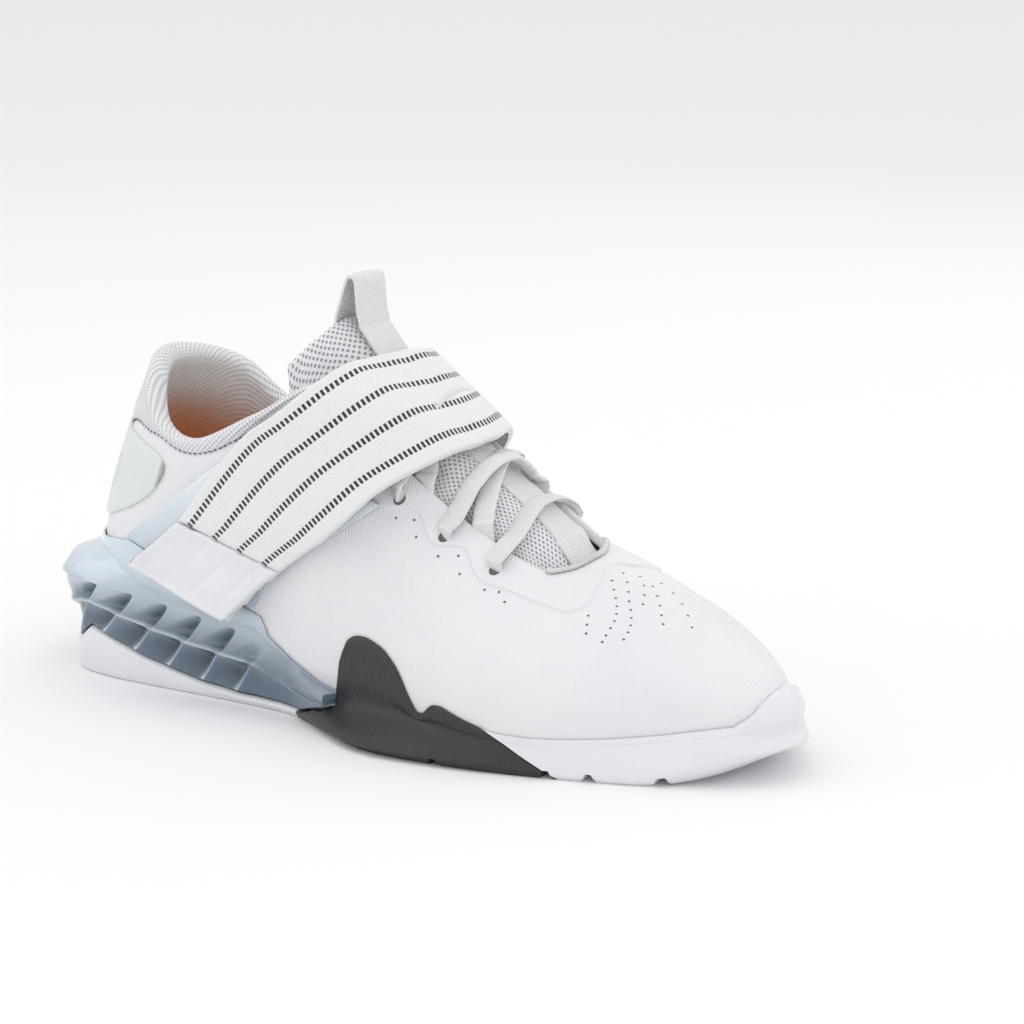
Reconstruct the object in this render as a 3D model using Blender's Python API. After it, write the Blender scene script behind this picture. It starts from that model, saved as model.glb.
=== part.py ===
"""Weightlifting shoe, right foot, standing on its sole.

The shoe is laid out from one closed surface, the outside of the last with its upper on.
Stations run round the shoe: toe tip, lateral side, heel, medial side. At each station a
smooth line climbs from the foot line, where upper and sole meet, to the opening's edge.
Soles, films, strap and tongue take their faces from that same surface.

Frame: +X to the toe, +Y to the medial side, +Z up, metres. The origin is the middle of
the heel's flat ground contact.
"""
import bpy
import bmesh
import itertools
import math
import numpy as np
from mathutils import Vector
from mathutils.bvhtree import BVHTree

# Driving sizes
LENGTH = 0.300
BALL_WIDTH = 0.100
INSTEP_HEIGHT = 0.120
HEEL_STACK = 0.031
HEEL_REST = 0.060
TOE_SPRING = 0.013
SPRING_START = 0.256
THROAT_REACH = 0.006
SPRING_CURVE = 1.8
CORE_SHARE = 0.55
CORE_DROP = 0.030

# Walls and clearances
GAP = 0.0003
SEAT_GAP = 0.0007
UPPER_WALL = 0.0022
COLLAR_PAD = 0.0045
PAD_START = 0.45
PAD_RISE = 0.35
CROWN_RISE = 0.0006
CROWN_PAD = 0.0016
OVERLAY_STEP = 0.0008
RIM_WALL = 0.0018
BUMPER_WALL = 0.0044
BUMPER_TUCK = 0.0100
HEEL_PLATE = 0.0030
FIN_WALL = 0.0030
WEDGE_LIP = 0.0040
WEDGE_INSET = 0.0005
SHELF_RISE = 0.0036
LIP_HEIGHT = 0.0060
LIP_END = 0.16
LIP_RUN = 0.10
LOBE_SWELL = 0.0015
FILM_WALL = 0.0012
INSOLE_THICKNESS = 0.0040
INSOLE_AIR = 0.0011
INSOLE_END = 0.6
TONGUE_THICKNESS = 0.0045
TONGUE_AIR = 0.0013
RIBBON_THICKNESS = 0.0008
STRAP_THICKNESS = 0.0022
STRAP_AIR = 0.0015
CAP_WALL = 0.0012
LACE_WIDTH = 0.0070
LACE_THICKNESS = 0.0016

# Lobes of the heel wedge
LOBE_PITCH = 0.0140
LOBE_DEPTH = 0.0030
LOBE_LEAN = 0.45
LOBE_END = 0.34

# Side of the forefoot sole: the floor line's inset, the edge's height and the toe's share
FLOOR_INSET = 0.0012
FLOOR_ROUND = 0.0014
TOE_BUMPER_START = 0.84
TOE_BUMPER_RUN = 0.14
WALL_TAPER = 0.35
RIM_LEAST = 0.04

# Cuts across the tread
CUT_WIDTH = 0.0030
CUT_DEPTH = 0.0030

# One row for each station. x is a share of LENGTH, y, flare and swell of BALL_WIDTH,
# foot_z of HEEL_STACK, edge_z, rise and drop of INSTEP_HEIGHT.
STATION_COLUMNS = ("foot_x", "foot_y", "foot_z", "edge_x", "edge_y", "edge_z",
                   "flare", "rise", "swell", "drop", "sole_x", "sole_y")
STATIONS = (
    (0.967, 0.00, 0.58, 0.705, 0.05, 0.513, 0.06, 0.09, 0.41, 0.08, 0.997, 0.00),
    (0.953, -0.12, 0.58, 0.700, 0.00, 0.500, 0.05, 0.11, 0.38, 0.09, 0.983, -0.14),
    (0.917, -0.24, 0.55, 0.693, -0.05, 0.492, 0.05, 0.15, 0.35, 0.09, 0.943, -0.265),
    (0.857, -0.34, 0.45, 0.683, -0.105, 0.492, 0.04, 0.17, 0.27, 0.10, 0.877, -0.365),
    (0.787, -0.43, 0.37, 0.673, -0.15, 0.504, 0.04, 0.18, 0.20, 0.09, 0.793, -0.455),
    (0.707, -0.49, 0.32, 0.650, -0.175, 0.533, 0.04, 0.20, 0.15, 0.10, 0.703, -0.53),
    (0.620, -0.50, 0.37, 0.613, -0.18, 0.579, 0.03, 0.22, 0.13, 0.12, 0.617, -0.57),
    (0.533, -0.45, 0.39, 0.560, -0.18, 0.650, 0.02, 0.23, 0.12, 0.13, 0.527, -0.57),
    (0.450, -0.41, 0.40, 0.490, -0.20, 0.775, 0.02, 0.25, 0.10, 0.15, 0.447, -0.47),
    (0.373, -0.37, 0.64, 0.413, -0.28, 0.975, 0.02, 0.28, 0.06, 0.23, 0.373, -0.37),
    (0.283, -0.34, 0.88, 0.320, -0.34, 0.867, 0.03, 0.27, 0.03, 0.22, 0.283, -0.35),
    (0.190, -0.33, 0.95, 0.227, -0.33, 0.767, 0.04, 0.23, 0.03, 0.15, 0.190, -0.35),
    (0.103, -0.29, 1.00, 0.160, -0.28, 0.808, 0.05, 0.21, 0.03, 0.17, 0.083, -0.34),
    (0.050, -0.17, 1.00, 0.120, -0.16, 0.925, 0.06, 0.22, 0.06, 0.18, 0.023, -0.26),
    (0.037, 0.01, 1.00, 0.100, 0.00, 0.983, 0.06, 0.23, 0.12, 0.18, 0.013, 0.00),
    (0.050, 0.17, 1.00, 0.117, 0.17, 0.970, 0.06, 0.22, 0.07, 0.18, 0.023, 0.26),
    (0.107, 0.29, 1.00, 0.160, 0.28, 0.917, 0.05, 0.21, 0.03, 0.18, 0.087, 0.33),
    (0.190, 0.33, 0.95, 0.227, 0.33, 0.792, 0.04, 0.23, 0.03, 0.15, 0.190, 0.34),
    (0.287, 0.32, 0.87, 0.307, 0.33, 0.850, 0.03, 0.25, 0.03, 0.20, 0.287, 0.33),
    (0.377, 0.31, 0.66, 0.407, 0.27, 0.992, 0.02, 0.28, 0.06, 0.23, 0.377, 0.32),
    (0.457, 0.32, 0.48, 0.473, 0.21, 0.892, 0.02, 0.27, 0.09, 0.18, 0.457, 0.33),
    (0.540, 0.36, 0.42, 0.547, 0.185, 0.779, 0.03, 0.25, 0.12, 0.15, 0.540, 0.37),
    (0.627, 0.42, 0.37, 0.617, 0.18, 0.667, 0.04, 0.22, 0.14, 0.13, 0.627, 0.435),
    (0.707, 0.46, 0.32, 0.660, 0.18, 0.592, 0.05, 0.20, 0.16, 0.12, 0.707, 0.485),
    (0.790, 0.45, 0.37, 0.687, 0.17, 0.554, 0.05, 0.18, 0.20, 0.10, 0.797, 0.48),
    (0.863, 0.38, 0.45, 0.700, 0.15, 0.542, 0.05, 0.15, 0.26, 0.10, 0.880, 0.405),
    (0.920, 0.26, 0.55, 0.705, 0.12, 0.529, 0.05, 0.12, 0.33, 0.09, 0.943, 0.275),
    (0.950, 0.13, 0.58, 0.707, 0.09, 0.521, 0.05, 0.09, 0.38, 0.09, 0.973, 0.13),
)
STATION_COUNT = len(STATIONS)
UP = np.array((0.0, 0.0, 1.0))
HEEL_BACK = STATION_COUNT / 2

# Top line of the sole's wrap on the upper. x is a share of LENGTH, z of INSTEP_HEIGHT.
WRAP_LATERAL = ((0.400, 0.03), (0.452, 0.05), (0.457, 0.25), (0.470, 0.292), (0.490, 0.296),
                (0.520, 0.275), (0.550, 0.225), (0.572, 0.155), (0.590, 0.104), (0.598, 0.148),
                (0.615, 0.162), (0.650, 0.133), (0.690, 0.108), (0.710, 0.108), (0.800, 0.104),
                (0.863, 0.108), (0.910, 0.125), (0.950, 0.19), (0.975, 0.25), (1.000, 0.275))
WRAP_MEDIAL = ((0.400, 0.17), (0.500, 0.16), (0.620, 0.135), (0.710, 0.115), (0.800, 0.11),
               (0.863, 0.12), (0.910, 0.145), (0.950, 0.20), (0.975, 0.25), (1.000, 0.275))

# Wedge: top line of the lobes and of its rim, and the outsole's fin. Shares as above.
LOBE_TOP = ((0.00, 0.317), (0.05, 0.317), (0.323, 0.225), (0.383, 0.140), (0.43, 0.105),
            (0.47, 0.095))
WEDGE_RIM = ((0.00, 0.440), (0.06, 0.425), (0.12, 0.448), (0.20, 0.392), (0.333, 0.285),
             (0.345, 0.230), (0.383, 0.175), (0.43, 0.130), (0.47, 0.115))
FIN_TOP = ((0.00, 0.083), (0.035, 0.100), (0.060, 0.150), (0.085, 0.135), (0.157, 0.083),
           (0.233, 0.045), (0.293, 0.030), (0.46, 0.026))

# Strap, from its free end on the lateral side over the instep to its sewn medial end.
# Upper edge and lower edge: x of LENGTH, y of BALL_WIDTH, z of INSTEP_HEIGHT.
STRAP_COLUMNS = ("upper_x", "upper_y", "upper_z", "lower_x", "lower_y", "lower_z")
STRAP_SECTIONS = (
    (0.147, -0.33, 0.392, 0.300, -0.33, 0.275),
    (0.223, -0.33, 0.550, 0.373, -0.33, 0.442),
    (0.307, -0.34, 0.767, 0.460, -0.33, 0.600),
    (0.350, -0.345, 0.880, 0.510, -0.30, 0.710),
    (0.403, -0.26, 0.985, 0.553, -0.18, 0.780),
    (0.450, -0.07, 1.050, 0.575, 0.00, 0.805),
    (0.463, 0.09, 1.055, 0.575, 0.12, 0.805),
    (0.430, 0.25, 0.970, 0.545, 0.24, 0.735),
    (0.375, 0.33, 0.830, 0.485, 0.30, 0.600),
    (0.310, 0.33, 0.670, 0.425, 0.32, 0.460),
    (0.255, 0.33, 0.545, 0.370, 0.32, 0.340),
)
CAP_SECTION = 1.0
CAP_LENGTH = 0.053

# Tongue, from its toe end under the vamp to its top. Ridge point, half width, and how far
# its sides fall below the ridge.
TONGUE_COLUMNS = ("ridge_x", "ridge_y", "ridge_z", "half_width", "fall", "thickness")
TONGUE_SECTIONS = (
    (0.743, 0.05, 0.440, 0.16, 0.040, 0.7),
    (0.690, 0.05, 0.520, 0.20, 0.060, 0.8),
    (0.635, 0.05, 0.640, 0.22, 0.085, 0.9),
    (0.575, 0.04, 0.748, 0.24, 0.110, 1.0),
    (0.515, 0.03, 0.875, 0.26, 0.160, 1.1),
    (0.463, 0.02, 0.990, 0.27, 0.260, 1.3),
    (0.425, 0.01, 1.085, 0.29, 0.270, 1.4),
    (0.388, 0.00, 1.160, 0.24, 0.170, 1.1),
)
RIBBON_HALF_WIDTH = 0.0065
LOOP_HALF_WIDTH = 0.0090
LOOP_TOP = (0.403, 1.262)
LOOP_TURN = 0.0026
LOOP_LEAN = 0.0030
LOOP_BACK_AIR = 0.0026

# Wing: the wedge's film arm, rear and front edge as shares of LENGTH and INSTEP_HEIGHT.
WING_REAR = ((0.122, 0.460), (0.187, 0.575), (0.255, 0.700), (0.315, 0.800))
WING_FRONT = ((0.325, 0.310), (0.357, 0.425), (0.420, 0.530), (0.490, 0.660))

# Heel badge: station, lower edge and upper edge as shares of INSTEP_HEIGHT.
BADGE_ROWS = ((11.5, 0.660, 0.690), (11.75, 0.595, 0.715), (12.1, 0.540, 0.735),
              (12.6, 0.500, 0.755), (13.2, 0.485, 0.770), (14.0, 0.480, 0.780))
BADGE_WALL = 0.0007

# Eyelets: stations of the three rows and their height up the wall.
EYELET_STATIONS = (5.5, 6.85, 7.75)
EYELET_SHARE = 0.88
LACE_LIFT = 0.0006
BAR_CROWN = 0.010
CROSS_CROWN = 0.006
CROSS_LEAD = 0.60
INSTEP_FACE = (0.55, 0.0, 0.83)


def rows_of(table, scales):
    return np.array(table, float) * np.array(scales)


def hermite(a, b, slope_a, slope_b, f):
    return ((2 * f ** 3 - 3 * f ** 2 + 1) * a + (f ** 3 - 2 * f ** 2 + f) * slope_a
            + (-2 * f ** 3 + 3 * f ** 2) * b + (f ** 3 - f ** 2) * slope_b)


def around(rows, at):
    """Smooth closed curve through the rows, read at fractional row numbers."""
    at = np.atleast_1d(np.asarray(at, float))
    low = np.floor(at).astype(int)
    f = (at - low)[:, None]
    before, a, b, after = (rows[(low + k) % len(rows)] for k in (-1, 0, 1, 2))
    return hermite(a, b, (b - before) / 2, (after - a) / 2, f)


def along(rows, at):
    """Smooth open curve through the rows, read at fractional row numbers."""
    padded = np.vstack((2 * rows[0] - rows[1], rows, 2 * rows[-1] - rows[-2]))
    at = np.clip(np.atleast_1d(np.asarray(at, float)), 0, len(rows) - 1)
    low = np.minimum(np.floor(at).astype(int), len(rows) - 2)
    f = (at - low)[:, None]
    before, a, b, after = (padded[low + k] for k in (0, 1, 2, 3))
    return hermite(a, b, (b - before) / 2, (after - a) / 2, f)


STATION_ROWS = rows_of(STATIONS, (LENGTH, BALL_WIDTH, HEEL_STACK, LENGTH, BALL_WIDTH,
                                  INSTEP_HEIGHT, BALL_WIDTH, INSTEP_HEIGHT, BALL_WIDTH,
                                  INSTEP_HEIGHT, LENGTH, BALL_WIDTH))


def outward_of(loop_xy, at):
    """Unit plan normals, away from the shoe, of a closed plan loop."""
    step = 0.05
    run = around(loop_xy, at + step) - around(loop_xy, at - step)
    normal = np.stack((run[:, 1], -run[:, 0]), axis=1)
    return -normal / np.linalg.norm(normal, axis=1)[:, None]


def plan_out(at):
    return np.pad(outward_of(STATION_ROWS[:, 0:2], at), ((0, 0), (0, 1)))


def sole_out(at):
    return np.pad(outward_of(STATION_ROWS[:, 10:12], at), ((0, 0), (0, 1)))


def last_point(at, share):
    """Points of the upper's outside: station numbers and heights 0 to 1 up the wall."""
    at = np.atleast_1d(np.asarray(at, float))
    share = np.broadcast_to(np.asarray(share, float), at.shape)[:, None]
    row = around(STATION_ROWS, at)
    out = plan_out(at)
    foot = row[:, 0:3]
    edge = row[:, 3:6]
    lower = foot + out * row[:, 6:7] + UP * row[:, 7:8]
    upper = edge + out * row[:, 8:9] - UP * row[:, 9:10]
    rest = 1 - share
    return (rest ** 3 * foot + 3 * rest ** 2 * share * lower
            + 3 * rest * share ** 2 * upper + share ** 3 * edge)


def last_normal(at, share):
    at = np.atleast_1d(np.asarray(at, float))
    share = np.broadcast_to(np.asarray(share, float), at.shape)
    step = 0.02
    low = np.clip(share - step, 0, 1)
    high = np.clip(share + step, 0, 1)
    climb = last_point(at, high) - last_point(at, low)
    run = last_point(at + step, share) - last_point(at - step, share)
    normal = np.cross(climb, run)
    normal /= np.linalg.norm(normal, axis=1)[:, None]
    return normal


def height_share(at, level):
    """How far up the wall it reaches the given height above the floor."""
    at = np.atleast_1d(np.asarray(at, float))
    level = np.broadcast_to(np.asarray(level, float), at.shape)
    low = np.zeros(at.shape)
    high = np.full(at.shape, 0.97)
    for _ in range(24):
        middle = (low + high) / 2
        below = last_point(at, middle)[:, 2] < level
        low = np.where(below, middle, low)
        high = np.where(below, high, middle)
    return low


def line_height(line, x):
    table = np.array(line) * (LENGTH, INSTEP_HEIGHT)
    return np.interp(x, table[:, 0], table[:, 1])


def toe_spring(x):
    share = np.clip((np.asarray(x) - SPRING_START) / (LENGTH - SPRING_START), 0, 1)
    return TOE_SPRING * share ** SPRING_CURVE


# Meshes and objects

def material(name, colour, roughness, metallic=0.0):
    made = bpy.data.materials.new(name)
    made.use_nodes = True
    shader = made.node_tree.nodes["Principled BSDF"]
    shader.inputs["Base Color"].default_value = (*colour, 1.0)
    shader.inputs["Roughness"].default_value = roughness
    shader.inputs["Metallic"].default_value = metallic
    return made


def add_object(name, points, faces, look, smooth_angle=40):
    moved = [Vector((p[0] - HEEL_REST, p[1], p[2])) for p in points]
    mesh = bpy.data.meshes.new(name)
    mesh.from_pydata(moved, [], faces)
    tool = bmesh.new()
    tool.from_mesh(mesh)
    bmesh.ops.remove_doubles(tool, verts=tool.verts, dist=1e-6)
    bmesh.ops.dissolve_degenerate(tool, dist=1e-6, edges=tool.edges)
    bmesh.ops.recalc_face_normals(tool, faces=tool.faces)
    tool.to_mesh(mesh)
    tool.free()
    mesh.materials.append(look)
    mesh.shade_smooth()
    mesh.set_sharp_from_angle(angle=math.radians(smooth_angle))
    made = bpy.data.objects.new(name, mesh)
    bpy.context.collection.objects.link(made)
    return made


def stitch(columns, rows, wrap_columns=False, offset=0):
    """Quads of a grid whose points are listed row by row along each column."""
    faces = []
    for i in range(columns if wrap_columns else columns - 1):
        j = (i + 1) % columns
        for k in range(rows - 1):
            faces.append((offset + i * rows + k, offset + j * rows + k,
                          offset + j * rows + k + 1, offset + i * rows + k + 1))
    return faces


def slab(outer, inner):
    """Closed plate between two point grids of shape columns by rows by 3."""
    columns, rows = outer.shape[:2]
    size = columns * rows
    faces = stitch(columns, rows)
    faces += [tuple(size + k for k in reversed(face)) for face in stitch(columns, rows)]
    border = [i * rows for i in range(columns)]
    border += [(columns - 1) * rows + k for k in range(1, rows)]
    border += [i * rows + rows - 1 for i in reversed(range(columns - 1))]
    border += list(reversed(range(1, rows - 1)))
    for a, b in zip(border, border[1:] + border[:1]):
        faces.append((b, a, size + a, size + b))
    return np.concatenate((outer.reshape(-1, 3), inner.reshape(-1, 3))), faces


def rings(sections):
    """Closed body through closed rings with as many points each, flat caps at the ends."""
    count = len(sections[0])
    faces = []
    for i in range(len(sections) - 1):
        for k in range(count):
            n = (k + 1) % count
            faces.append((i * count + k, i * count + n, (i + 1) * count + n, (i + 1) * count + k))
    last = (len(sections) - 1) * count
    faces.append(tuple(reversed(range(count))))
    faces.append(tuple(last + k for k in range(count)))
    return np.concatenate(sections), faces


def tree_of(points, faces):
    return BVHTree.FromPolygons([Vector(p) for p in points], faces)


def core_of(point):
    """Point of the foot's middle plane that a point of the skin looks out from."""
    drop = CORE_DROP * max(0.0, 1 - abs(point[1]) / CORE_DROP)
    return Vector((point[0], 0.0, min(point[2] - drop, CORE_SHARE * INSTEP_HEIGHT)))


def laid_over(points, trees, clearance):
    """Points moved out until they clear the outermost skin by the clearance."""
    done = []
    for point in points:
        core = core_of(point)
        ray = Vector(point) - core
        reach = ray.length
        ray.normalize()
        for tree in trees:
            spot, normal, _, _ = tree.ray_cast(core + ray * LENGTH, -ray)
            if spot is not None and (spot - core).dot(ray) > 0:
                slant = max(abs(normal.dot(ray)), 0.5)
                reach = max(reach, (spot - core).dot(ray) + clearance / slant)
        done.append(np.array(core + ray * reach))
    return np.array(done)


def laid_grid(grid, trees, clearance):
    """A grid laid over the skins at its points and at places between them."""
    for f, g in itertools.product((0.0, 0.35, 0.65, 1.0), repeat=2):
        near = grid[:-1, :-1] * (1 - f) + grid[1:, :-1] * f
        far = grid[:-1, 1:] * (1 - f) + grid[1:, 1:] * f
        place = near * (1 - g) + far * g
        push = laid_over(place.reshape(-1, 3), trees, clearance).reshape(place.shape) - place
        lift = np.zeros(grid.shape)
        for corner in (lift[:-1, :-1], lift[1:, :-1], lift[:-1, 1:], lift[1:, 1:]):
            longer = np.linalg.norm(push, axis=2) > np.linalg.norm(corner, axis=2)
            corner[longer] = push[longer]
        grid = grid + lift
    return grid


def spread(lift, pick):
    """Each point takes the largest or the mean of itself and its neighbours."""
    edged = np.pad(lift, 1, mode="edge")
    near = [edged[i:i + lift.shape[0], j:j + lift.shape[1]]
            for i, j in itertools.product(range(3), repeat=2)]
    return pick(near, axis=0)


def laid_smooth(grid, trees, clearance):
    """A grid laid over the skins as a firm strap lies, without their small bumps."""
    laid = laid_grid(grid, trees, clearance)
    lift = np.linalg.norm(laid - grid, axis=2)
    lift = spread(spread(lift, np.max), np.mean)
    flat = grid.reshape(-1, 3)
    away = flat - np.array([core_of(point) for point in flat])
    away /= np.linalg.norm(away, axis=1)[:, None]
    return grid + away.reshape(grid.shape) * lift[:, :, None]


def laid_under(points, trees, clearance):
    """Points moved in until they clear the first skin above them by the clearance."""
    done = []
    for point in points:
        core = core_of(point)
        ray = Vector(point) - core
        reach = ray.length
        ray.normalize()
        for tree in trees:
            spot, normal, _, _ = tree.ray_cast(core, ray)
            if spot is not None:
                slant = max(abs(normal.dot(ray)), 0.5)
                reach = min(reach, (spot - core).length - clearance / slant)
        done.append(np.array(core + ray * reach))
    return np.array(done)


# Upper

UPPER_COLUMNS = 64
SEAM_LINE = (0.80, 0.80, 0.78, 0.76, 0.70, 0.66, 0.62, 0.62, 0.64, 0.70, 0.72, 0.72, 0.66,
             0.58, 0.54, 0.58, 0.66, 0.72, 0.72, 0.70, 0.64, 0.62, 0.62, 0.66, 0.70, 0.76,
             0.78, 0.80)
PAD_LINE = (0, 0, 0, 0, 0, 0, 0, 0, 0.1, 0.6, 1, 1, 1, 1, 1, 1, 1, 1, 1, 0.6, 0.1, 0, 0, 0, 0,
            0, 0, 0)


def seam_share(at):
    return around(np.array(SEAM_LINE)[:, None], at)[:, 0]


def pad_share(at):
    return np.clip(around(np.array(PAD_LINE, float)[:, None], at)[:, 0], 0, 1)


def pad_swell(at, share):
    """Extra thickness of the collar's padding, which grows up the wall."""
    return pad_share(at) * COLLAR_PAD * np.clip((share - PAD_START) / PAD_RISE, 0, 1)


def overlay_step(at):
    """The eyestay's edge is a step in the wall, which dies out at the padded collar."""
    return OVERLAY_STEP * (1 - pad_share(at))


def wall_outside(at, share, step):
    return last_point(at, share) + last_normal(at, share) * np.reshape(step, (-1, 1))


def upper_shares(at):
    """Heights of the grid lines, with a pair on the overlay's edge."""
    seam = seam_share(at)
    low = [seam * f for f in (0, 0.17, 0.38, 0.60, 0.82, 0.985)]
    high = [seam + (1 - seam) * f for f in (0.03, 0.45, 0.78, 1.0)]
    return low, high


def make_upper(look):
    at = np.arange(UPPER_COLUMNS) * STATION_COUNT / UPPER_COLUMNS
    low, high = upper_shares(at)
    outer = [wall_outside(at, share, 0) for share in low]
    outer += [wall_outside(at, share, overlay_step(at)) for share in high]
    inner = []
    for share in high[::-1] + [low[4], low[2], low[1], low[0]]:
        swell = pad_swell(at, share)
        inner.append(wall_outside(at, share, -(UPPER_WALL + swell)))
    crest = CROWN_RISE + CROWN_PAD * pad_share(at)
    crown = (outer[-1] + inner[0]) / 2 + UP * crest[:, None]
    levels = outer + [crown] + inner
    points = np.stack(levels, axis=1)
    rows = len(levels)
    faces = stitch(UPPER_COLUMNS, rows, wrap_columns=True)
    for i in range(UPPER_COLUMNS):
        j = (i + 1) % UPPER_COLUMNS
        faces.append((i * rows, i * rows + rows - 1, j * rows + rows - 1, j * rows))
    points = points.reshape(-1, 3)
    add_object("upper", points, faces, look)
    return tree_of(points, faces)


def skin_tree(depth, columns=168, levels=30):
    """Search tree of the upper's outside, or of its inside at a negative depth.

    The inside runs on past the opening's edge, so that what lies under it stays under.
    """
    at = np.arange(columns + 1) * STATION_COUNT / columns
    shares = np.linspace(0, 1, levels)
    grid = []
    for share in shares:
        step = np.where(share > seam_share(at), overlay_step(at), 0)
        swell = pad_swell(at, share)
        grid.append(wall_outside(at, share, step if depth == 0 else depth - swell))
    if depth < 0:
        onward = grid[-1] - grid[-3]
        onward /= np.linalg.norm(onward, axis=1)[:, None]
        grid.append(grid[-1] + onward * THROAT_REACH)
    points = np.stack(grid, axis=1)
    return tree_of(points.reshape(-1, 3), stitch(columns + 1, len(grid)))


# Sole pieces

def mirrored(at):
    return STATION_COUNT - at


def sole_ring(at, flank):
    """Closed ring across the shoe from the lateral flank to its medial partner."""
    lateral = flank(at)
    medial = flank(mirrored(at))
    return np.array(lateral + [(lateral[-1] + medial[-1]) / 2] + medial[::-1]
                    + [(medial[0] + lateral[0]) / 2])


def flank_of(at, wall, top_level, ledge_share, toe):
    """Side of a sole piece: floor, ledge, wrap up the upper and back down its inside."""
    at = np.array([float(at)])
    row = around(STATION_ROWS, at)[0]
    out = sole_out(at)[0]
    edge = np.array((row[10], row[11], 0.0))
    foot = last_point(at, 0.0)[0]
    top = max(height_share(at, top_level)[0], RIM_LEAST)
    tuck = BUMPER_TUCK * toe
    floor_line = edge - out * (tuck + FLOOR_INSET)
    base = float(toe_spring(floor_line[0]))
    ledge = base + (row[2] - base) * ledge_share
    points = [floor_line + UP * base,
              edge - out * tuck * 0.62 + UP * (base + FLOOR_ROUND + FLOOR_INSET * toe),
              edge - out * tuck * 0.12 + UP * max(ledge, base + FLOOR_ROUND * 1.5)]
    for share in (0.0, 0.35, 0.7, 1.0):
        place = last_point(at, top * share)[0]
        normal = last_normal(at, top * share)[0]
        points.append(place + normal * wall * (1 - WALL_TAPER * share))
    for share in (1.0, 0.5, 0.0):
        place = last_point(at, top * share)[0]
        normal = last_normal(at, top * share)[0]
        points.append(place + normal * SEAT_GAP)
    points.append(foot - UP * SEAT_GAP - plan_out(at)[0] * UPPER_WALL)
    return points


def forefoot_flank(at):
    row = around(STATION_ROWS, at)[0]
    lateral = at % STATION_COUNT < HEEL_BACK
    level = float(line_height(WRAP_LATERAL if lateral else WRAP_MEDIAL, row[0]))
    toe = (row[10] / LENGTH - TOE_BUMPER_START) / TOE_BUMPER_RUN
    toe = float(np.clip(toe, 0, 1)) ** 1.5
    wall = RIM_WALL + (BUMPER_WALL - RIM_WALL) * toe
    points = flank_of(at, wall, level, 0.35 + 0.15 * toe, toe)
    if FLAP_START < at < STATION_COUNT - FLAP_START:
        tail = float(line_height(SADDLE_TAIL, row[10]))
        points = [np.array((p[0], p[1], min(p[2], tail))) for p in points]
    return points


TOE_SEAM = ((0.770, -0.50, 0.0), (0.690, -0.52, 0.10), (0.630, 0.46, 0.0))
FLAP_START = 7.90
SADDLE_END = 8.74
TAIL_STATIONS = (7.94, 8.15, 8.40, 8.60, SADDLE_END)
SADDLE_TAIL = ((0.393, 0.020), (0.455, 0.080))


def forefoot_stations():
    """Close together where the flap's outline is steep."""
    toe = [0.0, 0.3, 0.6, 1.0, 1.4, 1.9, 2.4, 2.9, 3.4, 3.9, 4.4, 4.9]
    flap = [5.25, 5.5, 5.75, 5.95, 6.10, 6.22, 6.30, 6.38, 6.5, 6.7, 7.0, 7.3, 7.55, 7.75, 7.88]
    return toe + flap + list(TAIL_STATIONS)


def cut_by_plane(body, point, normal, keep_above):
    """Half of a closed body on one side of a plane, closed again."""
    tool = bmesh.new()
    tool.from_mesh(body.data)
    geometry = tool.verts[:] + tool.edges[:] + tool.faces[:]
    done = bmesh.ops.bisect_plane(tool, geom=geometry, plane_co=point, plane_no=normal,
                                  clear_inner=keep_above, clear_outer=not keep_above)
    rim = [e for e in done["geom_cut"] if isinstance(e, bmesh.types.BMEdge)]
    bmesh.ops.holes_fill(tool, edges=rim)
    bmesh.ops.triangulate(tool, faces=tool.faces)
    bmesh.ops.recalc_face_normals(tool, faces=tool.faces)
    tool.to_mesh(body.data)
    tool.free()
    body.data.set_sharp_from_angle(angle=math.radians(40))


def subtract_boxes(body, boxes):
    """Straight slots cut out of a body."""
    for number, (centre, size, turn) in enumerate(boxes):
        mesh = bpy.data.meshes.new("slot_cutter")
        tool = bmesh.new()
        bmesh.ops.create_cube(tool, size=1.0)
        bmesh.ops.scale(tool, vec=size, verts=tool.verts)
        tool.to_mesh(mesh)
        tool.free()
        cutter = bpy.data.objects.new("slot_cutter_%d" % number, mesh)
        cutter.location = (centre[0] - HEEL_REST, centre[1], centre[2])
        cutter.rotation_euler = (0, 0, turn)
        cutter.hide_render = True
        cutter.display_type = "WIRE"
        bpy.context.collection.objects.link(cutter)
        cut = body.modifiers.new("slot", "BOOLEAN")
        cut.operation = "DIFFERENCE"
        cut.object = cutter


def seam_plane(shares):
    """A point of the seam's plane and its normal, pointing to the toe."""
    a, b, c = (Vector((x * LENGTH - HEEL_REST, y * BALL_WIDTH, z * INSTEP_HEIGHT))
               for x, y, z in shares)
    normal = (b - a).cross(c - a).normalized()
    if normal.x < 0:
        normal = -normal
    return a, normal


def make_forefoot(white, charcoal):
    sections = [sole_ring(at, forefoot_flank) for at in forefoot_stations()]
    points, faces = rings(sections)
    front = add_object("forefoot_outsole", points, faces, white)
    rear = add_object("midfoot_saddle", points, faces, charcoal)
    spot, normal = seam_plane(TOE_SEAM)
    cut_by_plane(front, spot + normal * GAP / 2, normal, True)
    cut_by_plane(rear, spot - normal * GAP / 2, normal, False)
    wide = BALL_WIDTH * 2
    cuts = [((x * LENGTH, 0, 0), (CUT_WIDTH, wide, 2 * CUT_DEPTH), turn)
            for x, turn in ((0.835, -0.25), (0.890, -0.15))]
    subtract_boxes(front, cuts)
    notch = [((0.585 * LENGTH, -0.6 * BALL_WIDTH, 0),
              (2 * CUT_WIDTH, 0.4 * BALL_WIDTH, 2 * CUT_DEPTH), 0.2)]
    subtract_boxes(rear, notch)
    return front, rear


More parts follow.
